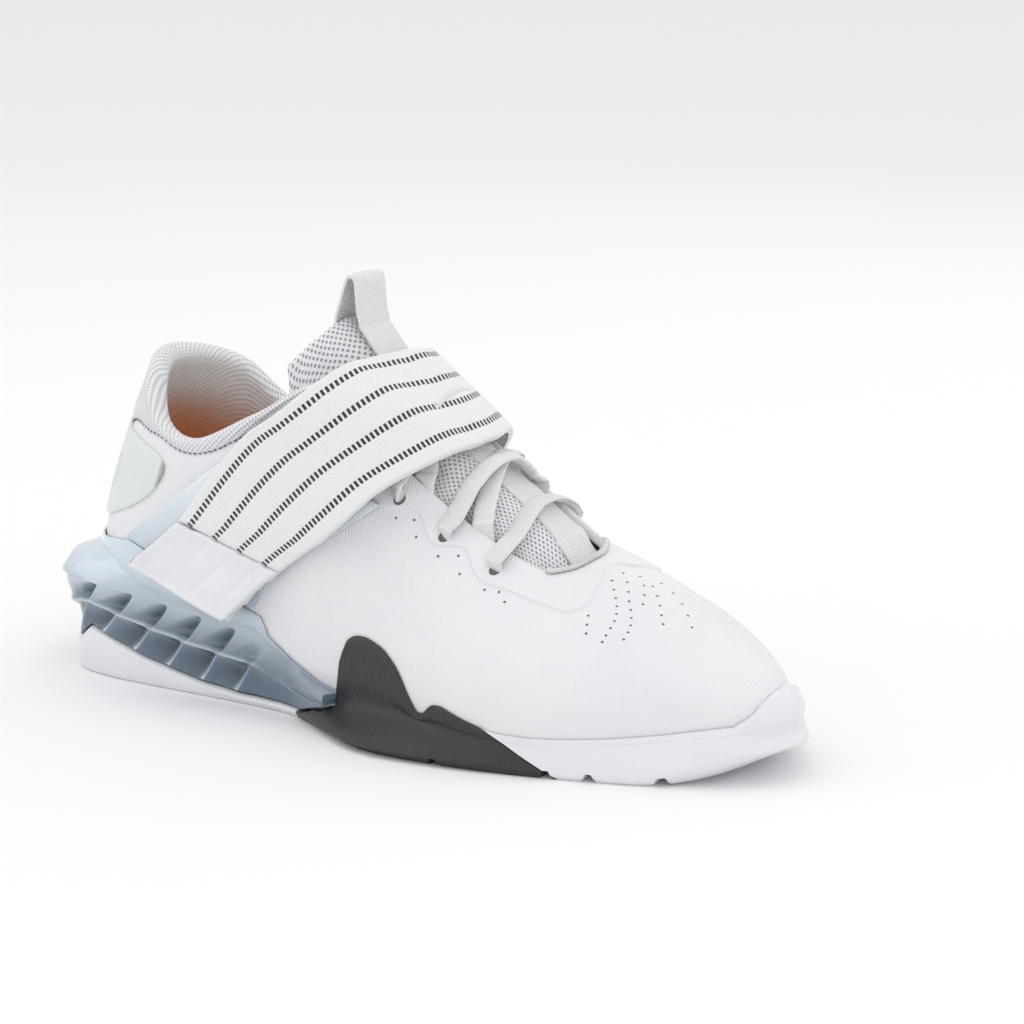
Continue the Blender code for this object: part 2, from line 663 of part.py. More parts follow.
def lobe_depth(x, share):
    """Depth of the pockets in the wedge's side, leaning forward as they rise."""
    row_share = share * 2 % 1
    lean = share * LOBE_LEAN
    across = (x / LOBE_PITCH - lean) % 1
    pocket = max(0.0, math.sin(math.pi * min(1, across * 1.25))) ** 0.7
    height = math.sin(math.pi * row_share) ** 0.6
    fade = np.clip((LOBE_END * LENGTH - x) / LOBE_PITCH, 0, 1)
    return LOBE_DEPTH * pocket * height * fade


WEDGE_END = 8.01


def wedge_flank(at):
    at = float(at)
    row = around(STATION_ROWS, at)[0]
    x = row[10]
    out = sole_out(np.array([at]))[0]
    edge = np.array((row[10], row[11], 0.0))
    over_tail = min(at, STATION_COUNT - at) < SADDLE_END + 0.06
    tail = float(line_height(SADDLE_TAIL, x)) if over_tail else 0.0
    base = max(HEEL_PLATE, tail) + SEAT_GAP
    fin = float(line_height(FIN_TOP, x)) if tail < HEEL_PLATE else 0.0
    lobes = float(line_height(LOBE_TOP, x))
    rim = float(line_height(WEDGE_RIM, row[0]))
    back = float(np.clip((LIP_END * LENGTH - x) / (LIP_RUN * LENGTH), 0, 1))
    start = max(fin, base) + SEAT_GAP
    points = [edge - out * (FIN_WALL + SEAT_GAP) + UP * base,
              edge - out * (FIN_WALL + SEAT_GAP) + UP * start,
              edge - out * WEDGE_INSET + UP * (start + WEDGE_INSET)]
    for share in (0.1, 0.25, 0.40, 0.51, 0.62, 0.76, 0.90, 1.0):
        level = start + (lobes - start) * share
        lip = WEDGE_LIP * back * max(0.0, share - 0.45) / 0.55 + LOBE_SWELL * share
        points.append(edge + out * (lip - lobe_depth(x, share)) + UP * level)
    swell = out * LOBE_SWELL
    points.append(edge + swell + out * WEDGE_LIP * back * 0.7
                  + UP * (lobes + SHELF_RISE / 3 + LIP_HEIGHT * back * 0.3))
    points.append(edge + swell * 0.8 - out * WEDGE_LIP * back * 0.5
                  + UP * (lobes + SHELF_RISE * 2 / 3 + LIP_HEIGHT * back * 0.63))
    top = height_share(np.array([at]), rim)[0]
    shelf = lobes + SHELF_RISE + LIP_HEIGHT * back
    foot_share = min(height_share(np.array([at]), shelf)[0], 0.8 * top)
    for share in (foot_share, (foot_share + top) / 2, top):
        place = last_point(at, share)[0]
        points.append(place + last_normal(at, share)[0] * (SEAT_GAP + FILM_WALL))
    for share in (top, top * 0.5, 0.0):
        place = last_point(at, share)[0]
        points.append(place + last_normal(at, share)[0] * SEAT_GAP)
    foot = last_point(at, 0.0)[0]
    points.append(foot - UP * SEAT_GAP - plan_out(np.array([at]))[0] * UPPER_WALL)
    return points


def heel_flank(at):
    row = around(STATION_ROWS, at)[0]
    x = row[10]
    out = sole_out(np.array([float(at)]))[0]
    edge = np.array((row[10], row[11], 0.0))
    fin = max(float(line_height(FIN_TOP, x)), HEEL_PLATE + GAP)
    return [edge - out * FLOOR_INSET, edge + UP * FLOOR_ROUND,
            edge + out * WEDGE_INSET + UP * fin * 0.6,
            edge - out * WEDGE_INSET + UP * fin, edge - out * FIN_WALL + UP * fin,
            edge - out * FIN_WALL + UP * HEEL_PLATE]


HEEL_END = 8.80


def half_stations(first, last, count):
    return [first + (last - first) * i / (count - 1) for i in range(count)]


def heel_stations(last):
    steps = half_stations(HEEL_BACK, HEEL_END, 29)
    tail = [at for at in TAIL_STATIONS[::-1] if last < at < HEEL_END]
    return steps + tail + [last] if last < HEEL_END else steps


def make_heel_outsole(look):
    sections = [sole_ring(at, heel_flank) for at in heel_stations(HEEL_END)]
    points, faces = rings(sections)
    add_object("heel_outsole", points, faces, look)


def make_heel_wedge(look):
    sections = [sole_ring(at, wedge_flank) for at in heel_stations(WEDGE_END)]
    points, faces = rings(sections)
    add_object("heel_wedge", points, faces, look)
    return tree_of(points, faces)


def make_insole(look):
    sections = []
    across = np.array((0.0, 0.5, 1.0))[:, None]
    for at in half_stations(HEEL_BACK - INSOLE_END, INSOLE_END, 17):
        sides = np.array((at, mirrored(at)))
        rim = last_point(sides, 0.0) - plan_out(sides) * (UPPER_WALL + INSOLE_AIR)
        low = rim[0] + (rim[1] - rim[0]) * across + UP * GAP
        high = low[::-1] + UP * INSOLE_THICKNESS
        sections.append(np.concatenate((low, high)))
    points, faces = rings(sections)
    add_object("insole", points, faces, look)


# Tongue, strap and films

def arch(ridge, half_width, fall, tilt, count):
    """Points across the tongue: a low arch through the ridge point."""
    done = []
    for i in range(count):
        f = 2 * i / (count - 1) - 1
        drop = fall * abs(f) ** 2.2
        done.append(ridge + np.array((-tilt[0] * drop, half_width * f, -tilt[1] * drop)))
    return np.array(done)


def tongue_grid(count_along=15, count_across=9):
    rows = rows_of(TONGUE_SECTIONS, (LENGTH, BALL_WIDTH, INSTEP_HEIGHT, BALL_WIDTH,
                                     INSTEP_HEIGHT, TONGUE_THICKNESS))
    at = np.linspace(0, len(rows) - 1, count_along)
    read = along(rows, at)
    run = np.gradient(read[:, [0, 2]], axis=0)
    run /= np.linalg.norm(run, axis=1)[:, None]
    outer = []
    inner = []
    for row, direction in zip(read, run):
        normal = np.array((direction[1], -direction[0]))
        outer.append(arch(row[0:3], row[3], row[4], normal, count_across))
        normal3 = np.array((normal[0], 0, normal[1]))
        edge = 1 - 0.75 * np.abs(np.linspace(-1, 1, count_across))[:, None] ** 6
        inner.append(outer[-1] - normal3 * row[5] * edge)
    return np.array(outer), np.array(inner)


def make_tongue(look, inside):
    outer, inner = tongue_grid()
    shape = outer.shape
    depth = outer - inner
    flat = laid_under(outer.reshape(-1, 3), inside, TONGUE_AIR)
    outer = flat.reshape(shape)
    inner = outer - depth
    points, faces = slab(outer, inner)
    add_object("tongue", points, faces, look)
    return outer


def strap_lines(at, across):
    rows = rows_of(STRAP_SECTIONS, (LENGTH, BALL_WIDTH, INSTEP_HEIGHT) * 2)
    read = along(rows, at)
    return np.array([row[0:3] + (row[3:6] - row[0:3]) * f for row in read for f in across])


def grid_normals(grid):
    """Unit normals of a point grid, looking away from the foot's middle plane."""
    run = np.gradient(grid, axis=0)
    side = np.gradient(grid, axis=1)
    normal = np.cross(run, side)
    normal /= np.linalg.norm(normal, axis=2)[:, :, None]
    middle = grid[len(grid) // 2, grid.shape[1] // 2]
    away = middle - np.array(core_of(middle))
    if normal[len(grid) // 2, grid.shape[1] // 2].dot(away) < 0:
        normal = -normal
    return normal


def make_strap(look, skins, laces, start, stop, count, name, thickness):
    across = np.linspace(0, 1, 6)
    at = np.linspace(start, stop, count)
    lines = strap_lines(at, across).reshape(count, len(across), 3)
    under = laid_smooth(lines, skins, FILM_WALL + STRAP_AIR)
    under = laid_smooth(under, laces, SEAT_GAP)
    points, faces = slab(under + grid_normals(under) * thickness, under)
    add_object(name, points, faces, look)


def make_cap(look, skins):
    """Smooth end of the strap, a little thicker than the weave."""
    end = CAP_SECTION - GAP / CAP_LENGTH
    make_strap(look, skins, (), 0.0, end, 7, "strap_cap", STRAP_THICKNESS + CAP_WALL)


def wing_point(x, z, tree, lift):
    """Point off the lateral side of the upper, straight out from a place in side view."""
    start = Vector((x, -BALL_WIDTH, z))
    spot, normal, _, _ = tree.ray_cast(start, Vector((0, 1, 0)))
    outward = -normal if normal.y > 0 else normal
    return np.array(spot + outward * lift)


def make_wing(look, tree):
    count = 15
    across = np.linspace(0, 1, 8)
    rear = along(rows_of(WING_REAR, (LENGTH, INSTEP_HEIGHT)),
                 np.linspace(0, len(WING_REAR) - 1, count))
    front = along(rows_of(WING_FRONT, (LENGTH, INSTEP_HEIGHT)),
                  np.linspace(0, len(WING_FRONT) - 1, count))
    under = []
    for a, b in zip(rear, front):
        places = [a + (b - a) * f for f in across]
        under.append([wing_point(p[0], p[1], tree, SEAT_GAP) for p in places])
    under = np.array(under)
    points, faces = slab(under + grid_normals(under) * FILM_WALL, under)
    add_object("heel_wing", points, faces, look)


def make_badge(look):
    rows = np.array(BADGE_ROWS)
    at = np.linspace(rows[0, 0], STATION_COUNT - rows[0, 0], 17)
    half = np.minimum(at, STATION_COUNT - at)
    low = np.interp(half, rows[:, 0], rows[:, 1]) * INSTEP_HEIGHT
    high = np.interp(half, rows[:, 0], rows[:, 2]) * INSTEP_HEIGHT
    under = []
    over = []
    for share in np.linspace(0, 1, 5):
        climb = height_share(at, low + (high - low) * share)
        under.append(wall_outside(at, climb, SEAT_GAP))
        over.append(wall_outside(at, climb, SEAT_GAP + BADGE_WALL))
    points, faces = slab(np.stack(over, axis=1), np.stack(under, axis=1))
    add_object("heel_badge", points, faces, look)


def tongue_line(at):
    """Ridge points of the tongue, the way its face looks out, and its thickness."""
    rows = rows_of(TONGUE_SECTIONS, (LENGTH, BALL_WIDTH, INSTEP_HEIGHT, BALL_WIDTH,
                                     INSTEP_HEIGHT, TONGUE_THICKNESS))
    at = np.atleast_1d(np.asarray(at, float))
    read = along(rows, at)
    step = 0.05
    last = len(rows) - 1
    run = along(rows, np.minimum(at + step, last)) - along(rows, np.maximum(at - step, 0))
    run = run[:, 0:3] * (1, 0, 1)
    run /= np.linalg.norm(run, axis=1)[:, None]
    face = np.stack((run[:, 2], 0 * run[:, 0], -run[:, 0]), axis=1)
    return read[:, 0:3], face, read[:, 5:6]


def flat_band(path, face, half_width, thickness):
    """Closed ribbon along a path, level across the shoe."""
    side = np.array((0, half_width, 0))
    over = np.stack([path + face * thickness + side * f for f in (-1, 0, 1)], axis=1)
    under = np.stack([path + side * f for f in (-1, 0, 1)], axis=1)
    return slab(over, under)


def ribbon_grid(tongue_skin, half_width, lift):
    """Points a little off the tongue's face, in a band down its middle."""
    ridge, face, _ = tongue_line(np.linspace(0.8, 4.8, 16))
    across = np.linspace(-1, 1, 3)
    flat = np.array([p + np.array((0, half_width * f, 0)) for p in ridge for f in across])
    flat = flat - np.repeat(face, len(across), axis=0) * TONGUE_THICKNESS
    grid = flat.reshape(len(ridge), len(across), 3)
    return laid_grid(grid, (tongue_skin,), lift), face[:, None, :]


def make_ribbon(look, tongue_skin):
    under, face = ribbon_grid(tongue_skin, RIBBON_HALF_WIDTH, SEAT_GAP)
    points, faces = slab(under + face * RIBBON_THICKNESS, under)
    cover, _ = ribbon_grid(tongue_skin, RIBBON_HALF_WIDTH + LACE_THICKNESS,
                           SEAT_GAP + RIBBON_THICKNESS)
    add_object("tongue_ribbon", points, faces, look)
    return tree_of(cover.reshape(-1, 3), stitch(*cover.shape[:2]))


def make_loop(look):
    last = len(TONGUE_SECTIONS) - 1
    front, out, _ = tongue_line(np.linspace(5.2, 6.5, 8))
    front = front + out * GAP * 2 + out * np.linspace(0, 1, 8)[:, None] ** 2 * LOOP_LEAN
    back, inward, deep = tongue_line(np.linspace(last, last - 0.9, 4))
    back = back - inward * (deep + LOOP_BACK_AIR + RIBBON_THICKNESS)
    top = np.array((LOOP_TOP[0] * LENGTH, 0, LOOP_TOP[1] * INSTEP_HEIGHT))
    turn = [top + LOOP_TURN * np.array((math.cos(a), 0, math.sin(a)))
            for a in np.linspace(0.1, math.pi - 0.1, 7)]
    path = np.vstack((front, turn, back))
    path = along(path, np.linspace(0, len(path) - 1, 26))
    run = np.gradient(path, axis=0) * (1, 0, 1)
    run /= np.linalg.norm(run, axis=1)[:, None]
    face = np.stack((run[:, 2], 0 * run[:, 0], -run[:, 0]), axis=1)
    points, faces = flat_band(path, face, LOOP_HALF_WIDTH, RIBBON_THICKNESS)
    add_object("pull_loop", points, faces, look)


def tape_grid(start, stop, crown, trees, lift=LACE_LIFT):
    """Flat lace from one place to another over the tongue."""
    middle = (start + stop) / 2 + np.array((0, 0, crown))
    path = along(np.array((start, middle, stop)), np.linspace(0, 2, 17))
    run = np.gradient(path, axis=0)
    run /= np.linalg.norm(run, axis=1)[:, None]
    side = np.cross(run, INSTEP_FACE)
    side /= np.linalg.norm(side, axis=1)[:, None]
    grid = np.stack([path + side * LACE_WIDTH * f for f in (-0.5, 0, 0.5)], axis=1)
    under = laid_grid(grid, trees, lift)
    return slab(under + grid_normals(under) * LACE_THICKNESS, under)


def eyelet(row, side, share):
    at = row if side < 0 else STATION_COUNT - row
    return wall_outside(np.array([at]), share, OVERLAY_STEP)[0]


def make_laces(look, trees):
    first, second, third = EYELET_STATIONS
    skins = []
    ends = [eyelet(first, side, EYELET_SHARE) for side in (-1, 1)]
    bar = tape_grid(*ends, BAR_CROWN, trees)
    add_object("lace_bar", *bar, look)
    for number, (low, high) in enumerate(((first, second), (second, third))):
        pair = []
        for side in (-1, 1):
            start = eyelet(low + CROSS_LEAD, side, 1.0)
            stop = eyelet(high, -side, EYELET_SHARE)
            lift = LACE_LIFT + (LACE_THICKNESS / 2 if side > 0 else 0)
            tape = tape_grid(start, stop, CROSS_CROWN, trees, lift)
            name = "lace_cross_%d" % (number + 1) + ("" if side < 0 else "_partner")
            pair.append(add_object(name, *tape, look))
            skins.append(tree_of(*tape))
        pair[1].hide_render = True
        pair[1].display_type = "WIRE"
        join = pair[0].modifiers.new("crossing", "BOOLEAN")
        join.operation = "UNION"
        join.object = pair[1]
    return tuple(skins)


def main():
    for old in list(bpy.data.objects):
        bpy.data.objects.remove(old, do_unlink=True)
    white_cloth = material("white_upper", (0.86, 0.86, 0.88), 0.6)
    white_rubber = material("white_rubber", (0.82, 0.83, 0.85), 0.4)
    charcoal = material("charcoal_rubber", (0.06, 0.06, 0.065), 0.45)
    blue = material("blue_wedge", (0.35, 0.45, 0.55), 0.25)
    film = material("heel_film", (0.75, 0.80, 0.80), 0.3)
    mesh_grey = material("tongue_mesh", (0.7, 0.7, 0.72), 0.8)
    weave = material("strap_weave", (0.88, 0.88, 0.90), 0.7)
    plastic = material("cap_plastic", (0.85, 0.86, 0.88), 0.35)
    lace_white = material("lace_white", (0.90, 0.90, 0.90), 0.8)
    tan = material("insole_tan", (0.55, 0.30, 0.18), 0.8)
    make_forefoot(white_rubber, charcoal)
    make_heel_outsole(white_rubber)
    wedge_skin = make_heel_wedge(blue)
    upper_skin = make_upper(white_cloth)
    make_insole(tan)
    inside = skin_tree(-UPPER_WALL)
    outside = skin_tree(0)
    make_wing(blue, outside)
    make_badge(film)
    tongue_face = make_tongue(mesh_grey, (inside, upper_skin))
    tongue_skin = tree_of(tongue_face.reshape(-1, 3), stitch(*tongue_face.shape[:2]))
    ribbon_skin = make_ribbon(weave, tongue_skin)
    make_loop(weave)
    lace_skins = make_laces(lace_white, (outside, upper_skin, tongue_skin, ribbon_skin))
    make_strap(weave, (outside, upper_skin), (tongue_skin, ribbon_skin) + lace_skins,
               CAP_SECTION, len(STRAP_SECTIONS) - 1, 31, "strap", STRAP_THICKNESS)
    make_cap(plastic, (outside, wedge_skin))


main()
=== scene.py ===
"""Weightlifting shoe, right foot: its looks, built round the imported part.

The frame is the part's: +X to the toe, +Y to the medial side, +Z up, metres. Tables give
x from the back of the heel, so every mesh is shifted by HEEL_REST on its way in.
"""
import math
import bmesh
import bpy
import numpy as np
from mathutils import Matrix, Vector
from mathutils.bvhtree import BVHTree


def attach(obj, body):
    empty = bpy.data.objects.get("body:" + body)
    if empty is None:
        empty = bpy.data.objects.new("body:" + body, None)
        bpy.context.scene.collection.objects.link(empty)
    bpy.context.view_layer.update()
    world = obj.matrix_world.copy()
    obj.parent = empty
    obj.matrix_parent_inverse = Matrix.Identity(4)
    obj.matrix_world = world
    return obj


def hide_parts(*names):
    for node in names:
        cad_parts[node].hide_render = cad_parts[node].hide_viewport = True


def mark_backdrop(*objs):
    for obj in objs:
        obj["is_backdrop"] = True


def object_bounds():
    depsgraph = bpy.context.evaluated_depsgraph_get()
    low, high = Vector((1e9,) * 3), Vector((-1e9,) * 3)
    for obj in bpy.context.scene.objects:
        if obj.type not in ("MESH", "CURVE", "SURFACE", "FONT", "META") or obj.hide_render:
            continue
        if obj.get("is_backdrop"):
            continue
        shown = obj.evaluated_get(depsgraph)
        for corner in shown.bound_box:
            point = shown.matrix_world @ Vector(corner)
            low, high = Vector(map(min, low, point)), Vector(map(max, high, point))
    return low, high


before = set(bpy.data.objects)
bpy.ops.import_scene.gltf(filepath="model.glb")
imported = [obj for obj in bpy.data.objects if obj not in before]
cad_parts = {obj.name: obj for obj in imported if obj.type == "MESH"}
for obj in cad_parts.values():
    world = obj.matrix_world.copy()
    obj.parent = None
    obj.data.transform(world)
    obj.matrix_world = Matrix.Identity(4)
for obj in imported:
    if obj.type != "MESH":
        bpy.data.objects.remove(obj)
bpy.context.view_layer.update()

# Forefoot outsole and midfoot saddle
# One rubber sole that wraps up the vamp: white under the toes with a raised bumper, and a
# charcoal saddle with a pointed flap at the lateral midfoot. Both are moulded and bonded on.
# The lines of the last, which all other pieces follow, are laid out here.

LENGTH = 0.300
BALL_WIDTH = 0.100
INSTEP_HEIGHT = 0.120
HEEL_STACK = 0.031
HEEL_REST = 0.060
TOE_SPRING = 0.013
SPRING_START = 0.256
SPRING_CURVE = 1.8
SKIN_GAP = 0.0002
UPPER_WALL = 0.0022
SHARP_ANGLE = 35
UP = np.array((0.0, 0.0, 1.0))
MEDIAL = np.array((0.0, 1.0, 0.0))

# One row for each station round the shoe: toe tip, lateral side, heel, medial side. Its
# columns are the foot's x, y, z, the edge's x, y, z, flare, rise, swell, drop, and the
# sole's x, y. x is a share of LENGTH, y, flare and swell of BALL_WIDTH, the foot's z of
# HEEL_STACK, the rest of INSTEP_HEIGHT.
STATIONS = (
    (0.967, 0.00, 0.58, 0.705, 0.05, 0.513, 0.06, 0.09, 0.41, 0.08, 0.997, 0.00),
    (0.953, -0.12, 0.58, 0.700, 0.00, 0.500, 0.05, 0.11, 0.38, 0.09, 0.983, -0.14),
    (0.917, -0.24, 0.55, 0.693, -0.05, 0.492, 0.05, 0.15, 0.35, 0.09, 0.943, -0.265),
    (0.857, -0.34, 0.45, 0.683, -0.105, 0.492, 0.04, 0.17, 0.27, 0.10, 0.877, -0.365),
    (0.787, -0.43, 0.37, 0.673, -0.15, 0.504, 0.04, 0.18, 0.20, 0.09, 0.793, -0.455),
    (0.707, -0.49, 0.32, 0.650, -0.175, 0.533, 0.04, 0.20, 0.15, 0.10, 0.703, -0.53),
    (0.620, -0.50, 0.37, 0.613, -0.18, 0.579, 0.03, 0.22, 0.13, 0.12, 0.617, -0.57),
    (0.533, -0.45, 0.39, 0.560, -0.18, 0.650, 0.02, 0.23, 0.12, 0.13, 0.527, -0.57),
    (0.450, -0.41, 0.40, 0.490, -0.20, 0.775, 0.02, 0.25, 0.10, 0.15, 0.447, -0.47),
    (0.373, -0.37, 0.64, 0.413, -0.28, 0.975, 0.02, 0.28, 0.06, 0.23, 0.373, -0.37),
    (0.283, -0.34, 0.88, 0.320, -0.34, 0.867, 0.03, 0.27, 0.03, 0.22, 0.283, -0.35),
    (0.190, -0.33, 0.95, 0.227, -0.33, 0.767, 0.04, 0.23, 0.03, 0.15, 0.190, -0.35),
    (0.103, -0.29, 1.00, 0.160, -0.28, 0.808, 0.05, 0.21, 0.03, 0.17, 0.083, -0.34),
    (0.050, -0.17, 1.00, 0.120, -0.16, 0.925, 0.06, 0.22, 0.06, 0.18, 0.023, -0.26),
    (0.037, 0.01, 1.00, 0.100, 0.00, 0.983, 0.06, 0.23, 0.12, 0.18, 0.013, 0.00),
    (0.050, 0.17, 1.00, 0.117, 0.17, 0.970, 0.06, 0.22, 0.07, 0.18, 0.023, 0.26),
    (0.107, 0.29, 1.00, 0.160, 0.28, 0.917, 0.05, 0.21, 0.03, 0.18, 0.087, 0.33),
    (0.190, 0.33, 0.95, 0.227, 0.33, 0.792, 0.04, 0.23, 0.03, 0.15, 0.190, 0.34),
    (0.287, 0.32, 0.87, 0.307, 0.33, 0.850, 0.03, 0.25, 0.03, 0.20, 0.287, 0.33),
    (0.377, 0.31, 0.66, 0.407, 0.27, 0.992, 0.02, 0.28, 0.06, 0.23, 0.377, 0.32),
    (0.457, 0.32, 0.48, 0.473, 0.21, 0.892, 0.02, 0.27, 0.09, 0.18, 0.457, 0.33),
    (0.540, 0.36, 0.42, 0.547, 0.185, 0.779, 0.03, 0.25, 0.12, 0.15, 0.540, 0.37),
    (0.627, 0.42, 0.37, 0.617, 0.18, 0.667, 0.04, 0.22, 0.14, 0.13, 0.627, 0.435),
    (0.707, 0.46, 0.32, 0.660, 0.18, 0.592, 0.05, 0.20, 0.16, 0.12, 0.707, 0.485),
    (0.790, 0.45, 0.37, 0.687, 0.17, 0.554, 0.05, 0.18, 0.20, 0.10, 0.797, 0.48),
    (0.863, 0.38, 0.45, 0.700, 0.15, 0.542, 0.05, 0.15, 0.26, 0.10, 0.880, 0.405),
    (0.920, 0.26, 0.55, 0.705, 0.12, 0.529, 0.05, 0.12, 0.33, 0.09, 0.943, 0.275),
    (0.950, 0.13, 0.58, 0.707, 0.09, 0.521, 0.05, 0.09, 0.38, 0.09, 0.973, 0.13),
)
STATION_COUNT = len(STATIONS)
HEEL_BACK = STATION_COUNT / 2


def rows_of(table, scales):
    return np.array(table, float) * np.array(scales)


def hermite(a, b, slope_a, slope_b, f):
    return ((2 * f ** 3 - 3 * f ** 2 + 1) * a + (f ** 3 - 2 * f ** 2 + f) * slope_a
            + (-2 * f ** 3 + 3 * f ** 2) * b + (f ** 3 - f ** 2) * slope_b)


def unit(vectors):
    return vectors / np.linalg.norm(vectors, axis=-1, keepdims=True)


def run_along(line):
    """Metres from a line's start to each of its points."""
    return np.r_[0, np.cumsum(np.linalg.norm(np.diff(line, axis=0), axis=1))]


def around(rows, at):
    """Smooth closed curve through the rows, read at fractional row numbers."""
    at = np.atleast_1d(np.asarray(at, float))
    low = np.floor(at).astype(int)
    f = (at - low)[:, None]
    before, a, b, after = (rows[(low + k) % len(rows)] for k in (-1, 0, 1, 2))
    return hermite(a, b, (b - before) / 2, (after - a) / 2, f)


def along(rows, at):
    """Smooth open curve through the rows, read at fractional row numbers."""
    padded = np.vstack((2 * rows[0] - rows[1], rows, 2 * rows[-1] - rows[-2]))
    at = np.clip(np.atleast_1d(np.asarray(at, float)), 0, len(rows) - 1)
    low = np.minimum(np.floor(at).astype(int), len(rows) - 2)
    f = (at - low)[:, None]
    before, a, b, after = (padded[low + k] for k in (0, 1, 2, 3))
    return hermite(a, b, (b - before) / 2, (after - a) / 2, f)


STATION_ROWS = rows_of(STATIONS, (LENGTH, BALL_WIDTH, HEEL_STACK, LENGTH, BALL_WIDTH,
                                  INSTEP_HEIGHT, BALL_WIDTH, INSTEP_HEIGHT, BALL_WIDTH,
                                  INSTEP_HEIGHT, LENGTH, BALL_WIDTH))


def outward_of(loop_xy, at):
    """Unit plan normals, away from the shoe, of a closed plan loop."""
    step = 0.05
    run = around(loop_xy, at + step) - around(loop_xy, at - step)
    return -unit(np.stack((run[:, 1], -run[:, 0]), axis=1))


def plan_out(at):
    return np.pad(outward_of(STATION_ROWS[:, 0:2], at), ((0, 0), (0, 1)))


def sole_out(at):
    return np.pad(outward_of(STATION_ROWS[:, 10:12], at), ((0, 0), (0, 1)))


def last_point(at, share):
    """Points of the upper's outside: station numbers and heights 0 to 1 up the wall."""
    at = np.atleast_1d(np.asarray(at, float))
    share = np.broadcast_to(np.asarray(share, float), at.shape)[:, None]
    row = around(STATION_ROWS, at)
    out = plan_out(at)
    foot = row[:, 0:3]
    edge = row[:, 3:6]
    lower = foot + out * row[:, 6:7] + UP * row[:, 7:8]
    upper = edge + out * row[:, 8:9] - UP * row[:, 9:10]
    rest = 1 - share
    return (rest ** 3 * foot + 3 * rest ** 2 * share * lower
            + 3 * rest * share ** 2 * upper + share ** 3 * edge)


def last_normal(at, share):
    at = np.atleast_1d(np.asarray(at, float))
    share = np.broadcast_to(np.asarray(share, float), at.shape)
    step = 0.02
    low = np.clip(share - step, 0, 1)
    high = np.clip(share + step, 0, 1)
    climb = last_point(at, high) - last_point(at, low)
    run = last_point(at + step, share) - last_point(at - step, share)
    return unit(np.cross(climb, run))


def off_last(at, share, away):
    """Places that stand off the last by a distance, or lie inside it where that is below 0."""
    away = np.broadcast_to(away, np.shape(at))[:, None]
    return last_point(at, share) + last_normal(at, share) * away


def height_share(at, level):
    """How far up the wall it reaches the given height above the floor."""
    at = np.atleast_1d(np.asarray(at, float))
    level = np.broadcast_to(np.asarray(level, float), at.shape)
    low = np.zeros(at.shape)
    high = np.full(at.shape, 0.97)
    for _ in range(24):
        middle = (low + high) / 2
        below = last_point(at, middle)[:, 2] < level
        low = np.where(below, middle, low)
        high = np.where(below, high, middle)
    return low


def line_height(line, x):
    table = np.array(line) * (LENGTH, INSTEP_HEIGHT)
    return float(np.interp(x, table[:, 0], table[:, 1]))


def toe_spring(x):
    share = np.clip((np.asarray(x) - SPRING_START) / (LENGTH - SPRING_START), 0, 1)
    return TOE_SPRING * share ** SPRING_CURVE


def stitch(columns, rows, wrap_columns=False):
    """Quads of a grid whose points are listed row by row along each column."""
    i, k = np.meshgrid(np.arange(columns if wrap_columns else columns - 1),
                       np.arange(rows - 1), indexing="ij")
    i, k = i.ravel(), k.ravel()
    j = (i + 1) % columns
    a, b = i * rows + k, j * rows + k
    return np.stack((a, b, b + 1, a + 1), axis=1).tolist()


def rings(sections):
    """Closed body through closed rings with as many points each, flat caps at the ends."""
    sections = np.array(sections)
    loops, count = sections.shape[:2]
    faces = stitch(loops, count)
    faces += [(i * count + count - 1, (i + 1) * count + count - 1, (i + 1) * count, i * count)
              for i in range(loops - 1)]
    faces.append(tuple(reversed(range(count))))
    faces.append(tuple((loops - 1) * count + k for k in range(count)))
    return sections.reshape(-1, 3), faces


def put_in_scene(name, data):
    thing = bpy.data.objects.new(name, data)
    bpy.context.scene.collection.objects.link(thing)
    return thing


def add_piece(name, points, faces, look, spots=None, sharp=SHARP_ANGLE):
    """A piece of the shoe. spots are its points' places in the weave, in metres."""
    mesh = bpy.data.meshes.new(name)
    mesh.from_pydata((np.asarray(points) - (HEEL_REST, 0, 0)).tolist(), [], faces)
    if spots is not None:
        corner = np.zeros(len(mesh.loops), int)
        mesh.loops.foreach_get("vertex_index", corner)
        weave = mesh.uv_layers.new(name="weave")
        weave.data.foreach_set("uv", np.asarray(spots, float).reshape(-1, 2)[corner].ravel())
    tool = bmesh.new()
    tool.from_mesh(mesh)
    bmesh.ops.recalc_face_normals(tool, faces=tool.faces)
    tool.to_mesh(mesh)
    tool.free()
    mesh.materials.append(look)
    mesh.shade_smooth()
    mesh.set_sharp_from_angle(angle=math.radians(sharp))
    piece = put_in_scene(name, mesh)
    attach(piece, "root")
    return piece


def mark_points(piece, name, values):
    """A number at each point of a piece, for its material to read."""
    mark = piece.data.attributes.new(name, "FLOAT", "POINT")
    mark.data.foreach_set("value", np.asarray(values, np.float32).ravel())


def finish_of(name, colour, roughness, **sockets):
    """A new material, on which the shader helpers work until the next one is made. Its
    further sockets are set by name, with _ for a space."""
    global graph
    look = bpy.data.materials.new(name)
    look.use_nodes = True
    graph = look.node_tree
    shader = graph.nodes["Principled BSDF"]
    shader.inputs["Base Color"].default_value = (*colour, 1.0)
    shader.inputs["Roughness"].default_value = roughness
    for key, value in sockets.items():
        shader.inputs[key.replace("_", " ")].default_value = value
    return look


def add_node(kind, settings=None, **sockets):
    """A node. Its sockets go by name, with _ for a space, or by number after an s."""
    node = graph.nodes.new(kind)
    for key, value in (settings or {}).items():
        setattr(node, key, value)
    for key, value in sockets.items():
        socket = node.inputs[int(key[1:]) if key[1:].isdigit() else key.replace("_", " ")]
        if isinstance(value, bpy.types.NodeSocket):
            graph.links.new(value, socket)
        else:
            socket.default_value = value
    return node


